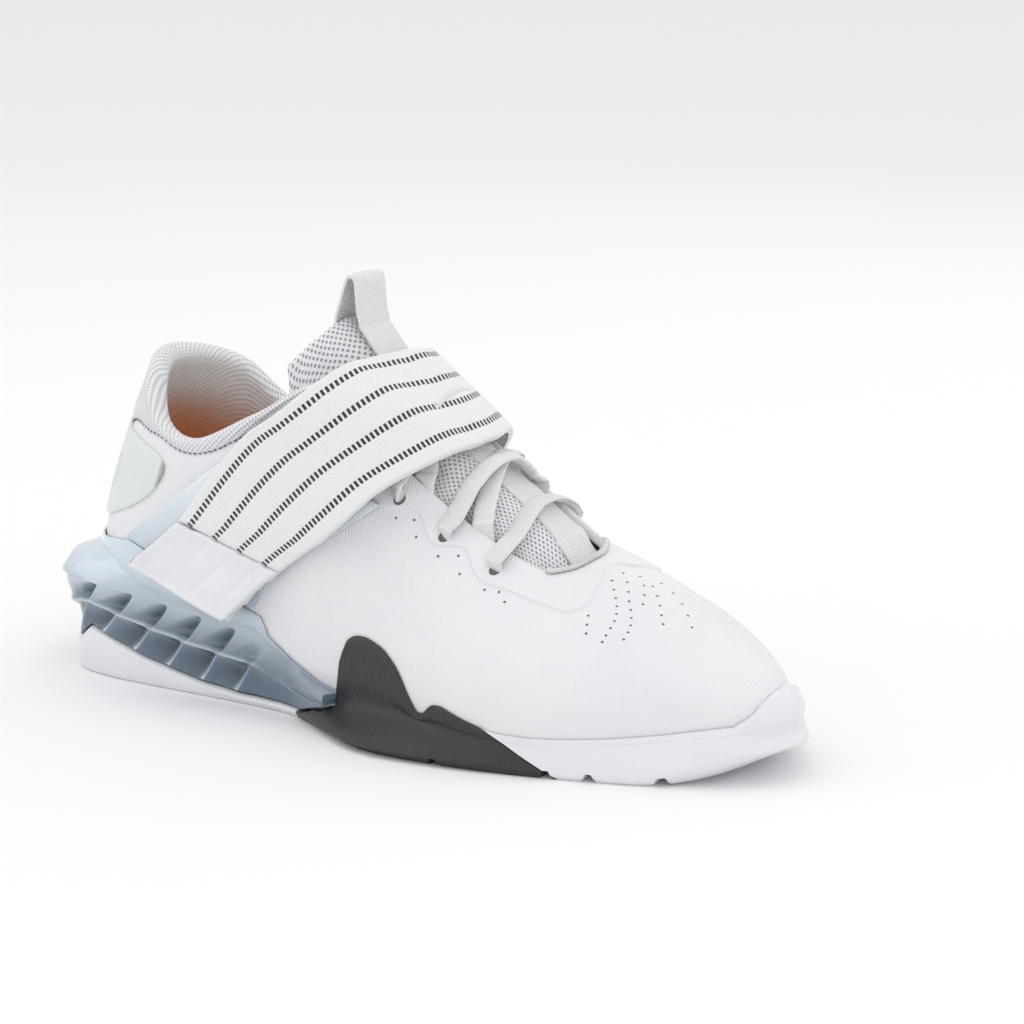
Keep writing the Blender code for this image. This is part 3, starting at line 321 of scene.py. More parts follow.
def sum_of(operation, a, b=0.0, c=0.0):
    return add_node("ShaderNodeMath", {"operation": operation}, s0=a, s1=b, s2=c).outputs[0]


def times(a, b):
    return sum_of("MULTIPLY", a, b)


def times_plus(a, b, c):
    return sum_of("MULTIPLY_ADD", a, b, c)


def place_in(kind):
    """Object gives metres in the part's frame, UV metres along the weave."""
    return add_node("ShaderNodeTexCoord").outputs[kind]


def parts_of(vector):
    return add_node("ShaderNodeSeparateXYZ", Vector=vector).outputs


def marked(name):
    """What mark_points has put on the piece's points."""
    return add_node("ShaderNodeAttribute", {"attribute_name": name}).outputs["Fac"]


def noise_of(place, scale):
    return add_node("ShaderNodeTexNoise", Vector=place, Scale=scale, Detail=3.0).outputs[0]


def ribs_of(run, pitch):
    """Even ribs across a run in metres, 0 in the grooves and 1 on the ribs."""
    return times_plus(sum_of("SINE", times(run, 2 * math.pi / pitch)), 0.5, 0.5)


def fade_of(value, low, high, start=0.0, end=1.0):
    return add_node("ShaderNodeMapRange", {"interpolation_type": "SMOOTHSTEP"}, Value=value,
                    From_Min=low, From_Max=high, To_Min=start, To_Max=end).outputs[0]


def mixed_of(share, a, b):
    """Colour a at share 0 and b at share 1. Either may be a colour or another mix."""
    a, b = (side if isinstance(side, bpy.types.NodeSocket) else (*side, 1.0)
            for side in (a, b))
    return add_node("ShaderNodeMix", {"data_type": "RGBA"}, s0=share, s6=a, s7=b).outputs[2]


def feed(socket, value):
    graph.links.new(value, graph.nodes["Principled BSDF"].inputs[socket])


def paint(share, a, b):
    feed("Base Color", mixed_of(share, a, b))


def emboss(height, depth):
    """Relief on top of what the material already has. depth is in metres."""
    normal = graph.nodes["Principled BSDF"].inputs["Normal"]
    bump = add_node("ShaderNodeBump", Height=height, Distance=depth)
    if normal.links:
        graph.links.new(normal.links[0].from_socket, bump.inputs["Normal"])
    graph.links.new(bump.outputs[0], normal)


# Top line of the sole's wrap on the upper. x is a share of LENGTH, z of INSTEP_HEIGHT.
WRAP_LATERAL = ((0.400, 0.03), (0.452, 0.05), (0.457, 0.25), (0.470, 0.292), (0.490, 0.296),
                (0.520, 0.275), (0.550, 0.225), (0.572, 0.155), (0.590, 0.104), (0.598, 0.148),
                (0.615, 0.162), (0.650, 0.133), (0.690, 0.108), (0.710, 0.108), (0.800, 0.104),
                (0.863, 0.108), (0.910, 0.125), (0.950, 0.19), (0.975, 0.25), (1.000, 0.275))
WRAP_MEDIAL = ((0.400, 0.17), (0.500, 0.16), (0.620, 0.135), (0.710, 0.115), (0.800, 0.11),
               (0.863, 0.12), (0.910, 0.145), (0.950, 0.20), (0.975, 0.25), (1.000, 0.275))
RIM_WALL = 0.0018
BUMPER_WALL = 0.0044
BUMPER_TUCK = 0.0100
BUMPER_START = 0.84
BUMPER_RUN = 0.14
FLOOR_INSET = 0.0012
FLOOR_ROUND = 0.0014
WRAP_SEAT = 0.0004
RIM_LEAST = 0.04
SADDLE_END = 8.74
FLAP_START = 7.90
SADDLE_TAIL = ((0.393, 0.020), (0.455, 0.080))
TOE_SEAM = ((0.770, -0.50, 0.0), (0.690, -0.52, 0.10), (0.630, 0.46, 0.0))
TREAD_CUTS = ((0.768, -0.10), (0.835, -0.25), (0.890, -0.15), (0.585, 0.20))
# The last cut is only a notch in the lateral edge: from x, to x, and up to which y.
NOTCH = (0.56, 0.61, -0.3)
ROUNDING = (-0.0024, -0.0016, -0.0008, 0.0, 0.0008, 0.0016, 0.0024)
CUT_HALF_WIDTH = 0.0010
CUT_DEPTH = 0.0030
LEDGE_STATION = 7.2
LEDGE_REACH = 2.2
LEDGE_LEVEL = 0.30
LEDGE_HALF = 0.09
LEDGE_SWELL = 0.0022
FLANK_POINTS = 25


def ring_of(lateral, medial):
    """Closed ring across the shoe from the lateral flank to its medial partner."""
    lateral, medial = list(lateral), list(medial)
    return np.array(lateral + [(lateral[-1] + medial[-1]) / 2] + medial[::-1]
                    + [(medial[0] + lateral[0]) / 2])


def sole_ring(at, flank):
    return ring_of(flank(at), flank(STATION_COUNT - at))


def station(at):
    """A station's number, its row, the way out of its sole, and the sole's edge there."""
    side = np.array([float(at)])
    row = around(STATION_ROWS, side)[0]
    return side, row, sole_out(side)[0], np.array((row[10], row[11], 0.0))


def under_last(side, seat):
    """Where a sole's inner side ends, below the upper's wall."""
    return last_point(side, 0.0)[0] - UP * seat - plan_out(side)[0] * UPPER_WALL


def soft_line(line, x):
    """A table's line with its corners rounded over a few millimetres."""
    return float(np.mean([line_height(line, x + step) for step in ROUNDING]))


def tread_cut(point):
    """How far the tread is cut back at a place: straight slots across the forefoot."""
    depth = 0.0
    for x, turn in TREAD_CUTS:
        away = abs(point[0] - x * LENGTH + turn * point[1])
        depth = max(depth, min(1.0, max(0.0, (CUT_HALF_WIDTH * 2 - away) / CUT_HALF_WIDTH)))
    start, stop, side = NOTCH
    if start * LENGTH < point[0] < stop * LENGTH and point[1] > side * BALL_WIDTH:
        depth = 0.0
    return CUT_DEPTH * depth


def forefoot_flank(at):
    """Side of the sole: floor, rounded edge, ledge and wrap, then back down inside."""
    side, row, out, edge = station(at)
    x = row[10]
    toe = float(np.clip((x / LENGTH - BUMPER_START) / BUMPER_RUN, 0, 1)) ** 1.5
    wall = RIM_WALL + (BUMPER_WALL - RIM_WALL) * toe
    level = soft_line(WRAP_LATERAL if at < HEEL_BACK else WRAP_MEDIAL, row[0])
    top = max(height_share(side, level)[0], RIM_LEAST)
    tuck = BUMPER_TUCK * toe
    floor_line = edge - out * (tuck + FLOOR_INSET)
    base = float(toe_spring(floor_line[0]))
    ledge = base + (row[2] - base) * (0.35 + 0.15 * toe)
    shape = [floor_line + UP * base,
             edge - out * tuck * 0.62 + UP * (base + FLOOR_ROUND + FLOOR_INSET * toe),
             edge - out * tuck * 0.12 + UP * max(ledge, base + FLOOR_ROUND * 1.5)]
    climb = np.full(4, float(at))
    shares = np.array((0.0, 0.35, 0.7, 1.0)) * top
    wrap = last_point(climb, shares)
    normal = last_normal(climb, shares)
    rim = wall * (1 - 0.35 * shares / top)
    shape = np.vstack((shape, wrap + normal * rim[:, None]))
    shape = along(shape, np.linspace(0, len(shape) - 1, FLANK_POINTS))
    shape[-1] -= normal[-1] * rim[-1] * 0.45
    keel = max(0.0, 1 - abs(at - LEDGE_STATION) / LEDGE_REACH) ** 0.5
    bulge = np.exp(-((np.linspace(0, 1, FLANK_POINTS) - LEDGE_LEVEL) / LEDGE_HALF) ** 2)
    shape += out * (LEDGE_SWELL * keel * bulge)[:, None]
    inner = (wrap + normal * WRAP_SEAT)[[3, 1, 0]]
    shape = np.vstack((shape, inner, under_last(side, WRAP_SEAT)))
    if FLAP_START < at < STATION_COUNT - FLAP_START:
        shape[:, 2] = np.minimum(shape[:, 2], line_height(SADDLE_TAIL, x))
    cut = tread_cut(shape[0])
    if cut > 0:
        shape[:, 2] = np.maximum(shape[:, 2], np.minimum(base + cut, shape[:, 2] + cut))
        shape[:9, 2] = np.maximum(shape[:9, 2], base + cut)
    return shape


def cut_by_plane(mesh, shares, keep_above):
    """Half of a closed body on one side of a plane through three places, closed again."""
    a, b, c = (Vector((x * LENGTH - HEEL_REST, y * BALL_WIDTH, z * INSTEP_HEIGHT))
               for x, y, z in shares)
    normal = (b - a).cross(c - a).normalized()
    normal = -normal if normal.x < 0 else normal
    a += normal * (SKIN_GAP if keep_above else -SKIN_GAP)
    tool = bmesh.new()
    tool.from_mesh(mesh)
    done = bmesh.ops.bisect_plane(tool, geom=tool.verts[:] + tool.edges[:] + tool.faces[:],
                                  plane_co=a, plane_no=normal,
                                  clear_inner=keep_above, clear_outer=not keep_above)
    rim = [e for e in done["geom_cut"] if isinstance(e, bmesh.types.BMEdge)]
    bmesh.ops.holes_fill(tool, edges=rim)
    bmesh.ops.recalc_face_normals(tool, faces=tool.faces)
    tool.to_mesh(mesh)
    tool.free()
    mesh.set_sharp_from_angle(angle=math.radians(SHARP_ANGLE))


white_rubber = finish_of("white_rubber", (0.76, 0.77, 0.79), 0.38, Coat_Weight=0.15)
where = place_in("Object")
mottle = noise_of(where, 45.0)
paint(mottle, (0.71, 0.72, 0.745), (0.79, 0.80, 0.815))
feed("Roughness", fade_of(mottle, 0.3, 0.7, 0.32, 0.46))
emboss(noise_of(where, 900.0), 0.00008)

charcoal_rubber = finish_of("charcoal_rubber", (0.03, 0.03, 0.033), 0.45, Coat_Weight=0.35,
                            Coat_Roughness=0.22, Specular_IOR_Level=0.3)
where = place_in("Object")
pinstripe = ribs_of(parts_of(where)[0], 0.0011)
paint(pinstripe, (0.020, 0.020, 0.022), (0.036, 0.036, 0.039))
feed("Roughness", fade_of(noise_of(where, 60.0), 0.3, 0.7, 0.34, 0.5))
emboss(pinstripe, 0.00022)

# At FLAP_START the sole steps down under the wedge.
sole_at = np.r_[np.linspace(0, FLAP_START - 0.02, 260),
                np.linspace(FLAP_START + 0.04, SADDLE_END, 20)]
sole_sections = [sole_ring(at, forefoot_flank) for at in sole_at]
half = len(sole_sections[0]) // 2 - 1
# At the toe tip the two flanks meet in one line.
toe_line = (sole_sections[0][:half] + sole_sections[0][2 * half:half:-1]) / 2
sole_sections[0][:half] = toe_line
sole_sections[0][2 * half:half:-1] = toe_line
sole_points, sole_faces = rings(sole_sections)
forefoot_rubber = add_piece("forefoot_rubber", sole_points, sole_faces, white_rubber)
saddle_rubber = add_piece("saddle_rubber", sole_points, sole_faces, charcoal_rubber)
cut_by_plane(forefoot_rubber.data, TOE_SEAM, True)
cut_by_plane(saddle_rubber.data, TOE_SEAM, False)
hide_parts("forefoot_outsole")
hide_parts("midfoot_saddle")

# Heel outsole
# White rubber plate under the heel, moulded with a pointed fin that laps up the wedge's
# lateral corner and dies out along its side. It is bonded to the wedge.

FIN_TOP = ((0.00, 0.083), (0.035, 0.100), (0.060, 0.150), (0.085, 0.135), (0.157, 0.083),
           (0.233, 0.045), (0.293, 0.030), (0.46, 0.026))
HEEL_PLATE = 0.0030
FIN_WALL = 0.0030
FIN_ROUND = 0.0006
HEEL_END = 8.80


def heel_flank(at):
    _, row, out, edge = station(at)
    fin = max(line_height(FIN_TOP, row[10]), HEEL_PLATE + SKIN_GAP)
    outline = [(-FLOOR_INSET, 0.0), (-FIN_ROUND, FIN_ROUND / 2), (0.0, FLOOR_ROUND),
               (FIN_ROUND, fin * 0.6), (FIN_ROUND / 2, fin - FIN_ROUND), (-FIN_ROUND, fin),
               (-FIN_WALL, fin), (-FIN_WALL, HEEL_PLATE)]
    return [edge + out * away + UP * height for away, height in outline]


heel_at = np.linspace(HEEL_BACK, HEEL_END, 200)
heel_rubber = add_piece("heel_rubber", *rings([sole_ring(at, heel_flank) for at in heel_at]),
                        white_rubber)
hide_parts("heel_outsole")

# Heel wedge
# One moulding of glossy translucent plastic between outsole and upper. Two rows of sculpted
# cells run along its sides, a rounded lip stands out at the back, and a thin rim climbs the
# upper.

LOBE_TOP = ((0.00, 0.317), (0.05, 0.317), (0.323, 0.225), (0.383, 0.140), (0.43, 0.105),
            (0.47, 0.095))
WEDGE_RIM = ((0.00, 0.440), (0.06, 0.425), (0.12, 0.448), (0.20, 0.392), (0.333, 0.285),
             (0.345, 0.230), (0.383, 0.175), (0.43, 0.130), (0.47, 0.115))
CELL_PITCH = 0.0155
CELL_DEPTH = 0.0042
CELL_LEAN = 0.55
CELL_END = 0.34
RIDGE_SHARE = 0.54
WEDGE_LIP = 0.0040
WEDGE_INSET = 0.0005
CELL_SWELL = 0.0015
SHELF_RISE = 0.0036
LIP_HEIGHT = 0.0060
WEDGE_SEAT = 0.0005
RIM_FILM = 0.0009
WEDGE_END = 7.905
TAIL_END = 8.80
LIP_START = 0.16
LIP_RUN = 0.10


def cell_depth(run, x, share):
    """Depth of the scalloped cells, each of which deepens to its front end and stops at a web,
    and how much painted highlight a place gets: a pale line along the middle ridge and at the
    webs between the lower cells."""
    upper = share > RIDGE_SHARE
    climb = (share - RIDGE_SHARE) / (1 - RIDGE_SHARE) if upper else share / RIDGE_SHARE
    cell = (run / CELL_PITCH - climb * CELL_LEAN + (0.35 if upper else 0.0)) % 1
    start = 0.15 + 0.45 * climb if upper else 0.05 + 0.25 * (1 - climb) ** 2
    across = (np.clip((cell - start) / (0.86 - start), 0, 1) ** 1.1
              * np.clip((1 - cell) / 0.14, 0, 1) ** 0.7)
    rise = math.sin(math.pi * climb ** (0.75 if upper else 1.2)) ** 0.7
    fade = np.clip((CELL_END * LENGTH - x) / CELL_PITCH, 0, 1)
    painted_highlight = math.exp(-((share - RIDGE_SHARE) / 0.022) ** 2)
    if not upper:
        painted_highlight = max(painted_highlight, math.exp(-(min(cell, 1 - cell) / 0.05) ** 2) * (1 - climb) ** 0.7)
    return float(across * rise * fade), float(painted_highlight * fade)


def wedge_profile(at, run):
    """Points up the wedge's side and down its inside, with how deep in a cell each lies, which
    sets its painted shade, and how much painted highlight it gets.
    """
    side, row, out, edge = station(at)
    x = row[10]
    over_tail = min(at, STATION_COUNT - at) < TAIL_END
    tail = line_height(SADDLE_TAIL, x) if over_tail else 0.0
    base = max(HEEL_PLATE, tail) + WEDGE_SEAT
    fin = line_height(FIN_TOP, x) if tail < HEEL_PLATE else 0.0
    lobes = line_height(LOBE_TOP, x)
    start = max(fin, base) + WEDGE_SEAT
    back = float(np.clip((LIP_START * LENGTH - x) / (LIP_RUN * LENGTH), 0, 1))
    points = [edge - out * (FIN_WALL + WEDGE_SEAT) + UP * base,
              edge - out * (FIN_WALL + WEDGE_SEAT) + UP * start,
              edge - out * WEDGE_INSET + UP * (start + WEDGE_INSET)]
    depths = [(0.0, 0.0)] * 3
    for share in np.linspace(0.03, 1.0, 34):
        level = start + (lobes - start) * share
        lip = WEDGE_LIP * back * max(0.0, share - 0.45) / 0.55 + CELL_SWELL * share
        ridge = CELL_SWELL * 0.9 * math.exp(-((share - RIDGE_SHARE) / 0.05) ** 2)
        depth, painted_highlight = cell_depth(run, x, share)
        points.append(edge + out * (lip + ridge - CELL_DEPTH * depth) + UP * level)
        depths.append((depth, painted_highlight))
    for away, lift, rise in ((1.0, 0.85, 0.15), (0.9, 0.4, 0.45), (0.7, -0.1, 0.75)):
        points.append(edge + out * (CELL_SWELL * away + WEDGE_LIP * back * lift)
                      + UP * (lobes + (SHELF_RISE + LIP_HEIGHT * back) * rise))
        depths.append((0.0, 0.0))
    top = height_share(side, line_height(WEDGE_RIM, row[0]))[0]
    shelf = height_share(side, lobes + SHELF_RISE + LIP_HEIGHT * back)[0]
    shares = np.linspace(min(shelf, 0.8 * top), top, 9)
    climb = np.full(9, float(at))
    wall = WEDGE_SEAT + RIM_FILM * (1.3 - 0.6 * np.linspace(0, 1, 9) ** 3)
    points += list(off_last(climb, shares, wall))
    points += list(off_last(climb[:3], np.array((top, top * 0.5, 0.0)), WEDGE_SEAT))
    points.append(under_last(side, WEDGE_SEAT))
    return points, depths + [(0.0, 0.0)] * (len(points) - len(depths))


wedge_at = np.r_[np.linspace(HEEL_BACK, HEEL_END, 330), np.linspace(SADDLE_END, WEDGE_END, 36)]
rim_run = run_along(around(STATION_ROWS, wedge_at)[:, 10:12])
wedge_rings = []
wedge_depths = []
for at, run in zip(wedge_at, rim_run):
    (lateral, deep_a), (medial, deep_b) = (wedge_profile(side, run)
                                           for side in (at, STATION_COUNT - at))
    wedge_rings.append(ring_of(lateral, medial))
    wedge_depths.append(deep_a + [(0.0, 0.0)] + deep_b[::-1] + [(0.0, 0.0)])

blue_gel = finish_of("blue_gel", (0.35, 0.45, 0.55), 0.13, Coat_Weight=1.0, Coat_Roughness=0.06,
                     IOR=1.47, Subsurface_Weight=0.25, Subsurface_Scale=0.004)
where = place_in("Object")
height = parts_of(where)
fall = times_plus(height[0], 0.10, height[2])
fall = times_plus(noise_of(where, 40.0), 0.010, fall)
milky = fade_of(fall, 0.018, 0.050)
clear = mixed_of(milky, (0.085, 0.135, 0.195), (0.62, 0.69, 0.76))
# The cells are painted darker by their depth: painted shade in the hollows, together with the
# deeper blue of the thicker gel there.
pocket_shade = marked("pocket_shade")
deep = mixed_of(milky, (0.025, 0.040, 0.062), (0.13, 0.18, 0.24))
body = mixed_of(times(pocket_shade, 0.9), clear, deep)
# Painted highlight: a pale line along the middle ridge and on the webs between the lower cells.
painted_highlight = marked("painted_highlight")
body = mixed_of(times(painted_highlight, 0.75), body, (0.72, 0.80, 0.87))
feed("Base Color", body)
wedge = add_piece("sculpted_wedge", *rings(wedge_rings), blue_gel, sharp=50)
mark_points(wedge, "pocket_shade", np.array(wedge_depths)[:, :, 0])
mark_points(wedge, "painted_highlight", np.array(wedge_depths)[:, :, 1])
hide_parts("heel_wedge")

# Upper
# A hollow shell of smooth white synthetic with a fine rib grain. The eyestay is a raised
# layer with a wavy lower edge, the collar is padded knit, and the lining is bonded inside.

COLLAR_PAD = 0.0045
PAD_START = 0.45
PAD_RISE = 0.35
CROWN_RISE = 0.0006
CROWN_PAD = 0.0016
CROWN_WIDTH = 0.0090
OVERLAY_STEP = 0.0009
EDGE_ROUND = 0.0007
KNIT_PUFF = 0.0011
SEAM_DEPTH = 0.0006
UPPER_COLUMNS = 784
CROWN_ROWS = 7
CROWN_INSIDE = 0.12
LINING_ROWS = 20
RIB_PITCH = 0.0011
PAD_LINE = (0, 0, 0, 0, 0, 0, 0, 0, 0.1, 0.6, 1, 1, 1, 1, 1, 1, 1, 1, 1, 0.6, 0.1, 0, 0, 0, 0,
            0, 0, 0)
# Edge of the raised eyestay, then of the collar's knit: station and share of the wall.
EDGE_LINE = ((0.0, 0.95), (0.6, 0.92), (1.4, 0.87), (2.25, 0.775), (2.75, 0.76), (3.75, 0.78),
             (4.9, 0.79), (5.75, 0.765), (6.0, 0.79), (6.25, 0.87), (6.44, 0.88), (6.95, 0.79),
             (7.12, 0.79), (7.31, 0.87), (7.44, 0.885), (7.94, 0.77), (8.5, 0.80), (9.1, 0.93),
             (9.7, 0.985), (10.1, 0.94), (10.56, 0.925), (11.0, 0.94), (11.7, 0.965),
             (11.95, 0.95), (12.6, 0.84), (13.4, 0.70), (14.0, 0.68))
# Seams sunk into the wall: places and then depth and half width as shares of SEAM_DEPTH.
SEAMS = ((((12.9, 0.24), (12.4, 0.28), (11.75, 0.45), (11.4, 0.58), (10.75, 0.81),
           (10.06, 0.87)), 0.8, 1.4),
         (((23.6, 0.80), (23.3, 0.50), (23.1, 0.10)), 0.9, 1.5),
         (((13.1, 0.70), (12.25, 0.55), (11.56, 0.36)), 0.5, 1.2))
CREASES = ((((3.0, 0.66), (3.7, 0.50), (4.3, 0.34)), 0.7, 6.0),
           (((2.2, 0.62), (2.9, 0.44), (3.5, 0.28)), 0.6, 7.0),
           (((0.3, 0.62), (1.2, 0.50), (2.0, 0.36)), 0.4, 8.0),
           (((26.0, 0.66), (25.2, 0.50), (24.6, 0.30)), 0.6, 7.0),
           (((8.3, 0.60), (7.4, 0.52), (6.6, 0.36)), 0.6, 8.0),
           (((10.8, 0.70), (10.2, 0.58), (9.6, 0.50)), 0.8, 6.0),
           (((17.4, 0.70), (18.0, 0.56), (18.6, 0.48)), 0.8, 6.0))


def pad_share(at):
    return np.clip(around(np.array(PAD_LINE, float)[:, None], at)[:, 0], 0, 1)


def edge_share(at):
    """The edge line on either side of the shoe, with its corners rounded."""
    half = np.minimum(np.asarray(at, float) % STATION_COUNT, -np.asarray(at) % STATION_COUNT)
    line = np.array(EDGE_LINE)
    near = [np.interp(half + shift, line[:, 0], line[:, 1])
            for shift in (-0.14, -0.07, 0.0, 0.07, 0.14)]
    return near[2] * 0.3 + (near[1] + near[3]) * 0.22 + (near[0] + near[4]) * 0.13


all_round = np.linspace(0, STATION_COUNT, 1401)
wall_run = run_along(last_point(all_round, 0.4))
wall_height = np.linalg.norm(last_point(all_round, 1.0) - last_point(all_round, 0.0), axis=1)


def unrolled(at, share):
    """Place on the wall as metres round the shoe and metres up."""
    return (np.interp(at, all_round, wall_run),
            np.asarray(share) * np.interp(at, all_round, wall_height))


def away_from(run, level, path):
    """Distance on the unrolled wall to a path of stations and shares."""
    ends = np.stack(unrolled(*np.array(path, float).T), axis=1)
    places = np.stack((run, level), axis=-1)
    least = np.full(run.shape, np.inf)
    for a, b in zip(ends[:-1], ends[1:]):
        f = np.clip(((places - a) @ (b - a)) / ((b - a) @ (b - a)), 0, 1)
        least = np.minimum(least, np.linalg.norm(places - a - f[..., None] * (b - a), axis=-1))
    return least


def soft_step(value):
    """0 below 0, 1 above 1, and smooth between."""
    value = np.clip(value, 0, 1)
    return value * value * (3 - 2 * value)


def wall_relief(at, share):
    """Height of the outside above the plain last, and how much of it is collar knit."""
    run, level = unrolled(at, share)
    over = (share - edge_share(at)) * np.interp(at, all_round, wall_height)
    pad = pad_share(at)
    relief = OVERLAY_STEP * (1 - pad) * soft_step(over / EDGE_ROUND + 0.5)
    knit = soft_step((pad - 0.4) / 0.2) * soft_step(over / EDGE_ROUND + 0.5)
    relief += KNIT_PUFF * knit * soft_step(over / 0.004)
    relief -= SEAM_DEPTH * soft_step((pad - 0.4) / 0.2) * np.exp(-(over / EDGE_ROUND) ** 2)
    for path, depth, width in SEAMS + CREASES:
        near = away_from(run, level, path) / (SEAM_DEPTH * width)
        relief -= SEAM_DEPTH * depth * np.exp(-near ** 2)
    return relief, knit


def on_upper(at, share, lift=0.0):
    """Places on the dressed outside of the upper, and the way out there."""
    at = np.atleast_1d(np.asarray(at, float))
    share = np.broadcast_to(np.asarray(share, float), at.shape)
    normal = last_normal(at, share)
    relief = wall_relief(at, share)[0]
    return last_point(at, share) + normal * (relief + lift)[:, None], normal


around_at = np.arange(UPPER_COLUMNS) * STATION_COUNT / UPPER_COLUMNS
edge = edge_share(around_at)
edge_room = EDGE_ROUND / np.interp(around_at, all_round, wall_height)
levels = [(edge - edge_room) * f for f in np.linspace(0, 1, 34)]
levels += [edge - edge_room * 0.4, edge, edge + edge_room * 0.4, edge + edge_room]
levels += [edge + edge_room + (1 - edge - edge_room) * f for f in np.linspace(0.05, 1, 22)]
walls = []
knits = []
spots = []
for share in levels:
    relief, knit = wall_relief(around_at, share)
    walls.append(off_last(around_at, share, relief))
    knits.append(knit)
    spots.append(np.stack(unrolled(around_at, share), axis=1))
outer_rows = len(walls)
pad = pad_share(around_at)
inner = []
for share in np.linspace(1, 0, LINING_ROWS):
    swell = pad * COLLAR_PAD * np.clip((share - PAD_START) / PAD_RISE, 0, 1)
    inner.append(off_last(around_at, share, -UPPER_WALL - swell))
    spots.append(np.stack(unrolled(around_at, 2 - share), axis=1) + (0, CROWN_WIDTH))
crest = (CROWN_RISE + CROWN_PAD * pad + KNIT_PUFF * 0.5)[:, None]
crown = []
for bend in np.linspace(0, math.pi, CROWN_ROWS + 2)[1:-1]:
    crown.append(walls[-1] * (1 + math.cos(bend)) / 2 + inner[0] * (1 - math.cos(bend)) / 2
                 + UP * crest * math.sin(bend))
    spots.insert(outer_rows + len(crown) - 1,
                 spots[outer_rows - 1] + (0, CROWN_WIDTH * bend / math.pi))
shell = np.stack(walls + crown + inner, axis=1)
inside = np.tile(np.r_[np.zeros(outer_rows), np.full(CROWN_ROWS, CROWN_INSIDE),
                       np.ones(LINING_ROWS)], (UPPER_COLUMNS, 1))
knit_marks = np.stack(knits + [knits[-1]] * (CROWN_ROWS + LINING_ROWS), axis=1)

white_upper = finish_of("white_upper", (0.78, 0.785, 0.80), 0.52, Sheen_Weight=0.12,
                        Coat_Weight=0.05)
where = place_in("Object")
across, _, level = parts_of(where)
weave = parts_of(place_in("UV"))
knit_share = marked("knit")
lining = marked("inside")
mottle = noise_of(where, 30.0)
skin = mixed_of(mottle, (0.73, 0.735, 0.755), (0.82, 0.82, 0.83))


def cells_of(run, rise, wide, tall):
    """Staggered round cells, 1 in the holes and 0 between them."""
    a = sum_of("SINE", times(run, math.pi / wide))
    b = sum_of("SINE", times(rise, math.pi / tall))
    return fade_of(times(a, b), 0.25, 0.75)


cells = cells_of(weave[0], weave[1], 0.0011, 0.0011)
knit_tone = mixed_of(cells, (0.76, 0.765, 0.785), (0.50, 0.51, 0.535))
outside_tone = mixed_of(knit_share, skin, knit_tone)
slope = times_plus(mottle, 0.010, times_plus(across, 0.35, level))
warm = fade_of(slope, 0.074, 0.104, 1.0, 0.0)
warm = times(warm, fade_of(across, 0.0, 0.04, 1.0, 0.0))
lining_tone = mixed_of(warm, (0.90, 0.885, 0.87), (1.0, 0.42, 0.19))
lining_tone = mixed_of(times(cells, 0.4), lining_tone, (0.34, 0.21, 0.15))
paint(lining, outside_tone, lining_tone)
soft = sum_of("MAXIMUM", knit_share, lining)
feed("Roughness", fade_of(soft, 0.0, 1.0, 0.5, 0.85))
grain = ribs_of(times_plus(mottle, 0.0004, across), RIB_PITCH)
emboss(times(grain, sum_of("SUBTRACT", 1.0, soft)), 0.00010)
emboss(times(cells, soft), -0.00035)
emboss(noise_of(where, 260.0), 0.00010)

upper_shell = add_piece("upper_shell", shell.reshape(-1, 3),
                        stitch(*shell.shape[:2], wrap_columns=True), white_upper,
                        np.stack(spots, axis=1), sharp=60)
mark_points(upper_shell, "knit", knit_marks)
mark_points(upper_shell, "inside", inside)
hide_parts("upper")

# Holes and stitches of the upper
# Pinholes punched beside the eyelets and in a fan over the toe, the collar's dark stitch
# line, and the overlock stitches round the toe end of the throat.

PINHOLE = 0.00050
TOE_PINS = (((2.20, 0.74), (2.70, 0.64), 3), ((0.50, 0.89), (2.50, 0.59), 9),
            ((0.00, 0.90), (2.00, 0.60), 9), ((27.80, 0.86), (28.56, 0.76), 4),
            ((27.94, 0.81), (28.70, 0.66), 5), ((27.60, 0.80), (28.30, 0.62), 5))
EYELET_PINS = ((7.70, 0.78), (7.44, 0.83), (7.30, 0.77), (6.80, 0.76), (6.44, 0.825),
               (6.25, 0.745), (5.62, 0.735), (5.25, 0.76), (5.05, 0.72))
STITCH_PITCH = 0.0026
THREAD_START = 9.9
THREAD_STOP = 18.1
THREAD_RISE = 0.0006
THREAD_HALF = 0.0003
OVERLOCK_RUNS = ((24.9, 28.0, 28), (28.1, 31.4, 30))


def chips(name, centres, runs, outs, long, wide, high, look, count=10):
    """Small rounded pads, each on its place, along its run and out from the surface."""
    points = []
    faces = []
    turns = np.linspace(0, 2 * math.pi, count, endpoint=False)
    for centre, run, out in zip(centres, runs, outs):
        run = unit(np.array(run) - out * np.dot(run, out))
        side = np.cross(out, run)
        start = len(points)
        for share, rise in ((1.0, -0.3), (1.0, 0.45), (0.62, 0.9)):
            for a in turns:
                points.append(centre + run * long * share * math.cos(a)
                              + side * wide * share * math.sin(a) + out * high * rise)
        points.append(centre + out * high)
        for low in (start, start + count):
            for k in range(count):
                m = (k + 1) % count
                faces.append((low + k, low + m, low + count + m, low + count + k))
        faces += [(start + 2 * count + k, start + 2 * count + (k + 1) % count,
                   start + 3 * count) for k in range(count)]
    return add_piece(name, points, faces, look, sharp=70)


shade_grey = finish_of("shade_grey", (0.09, 0.09, 0.10), 0.9)
paint(noise_of(place_in("Object"), 700.0), (0.06, 0.06, 0.065), (0.20, 0.20, 0.21))


def thread_of(name, colour, roughness, pitch, depth):
    look = finish_of(name, colour, roughness)
    twist = parts_of(place_in("Object"))
    emboss(ribs_of(sum_of("ADD", twist[0], twist[2]), pitch), depth)
    return look


thread_dark = thread_of("thread_dark", (0.12, 0.12, 0.13), 0.8, 0.0004, 0.0001)
thread_white = thread_of("thread_white", (0.70, 0.70, 0.72), 0.75, 0.0005, 0.00012)

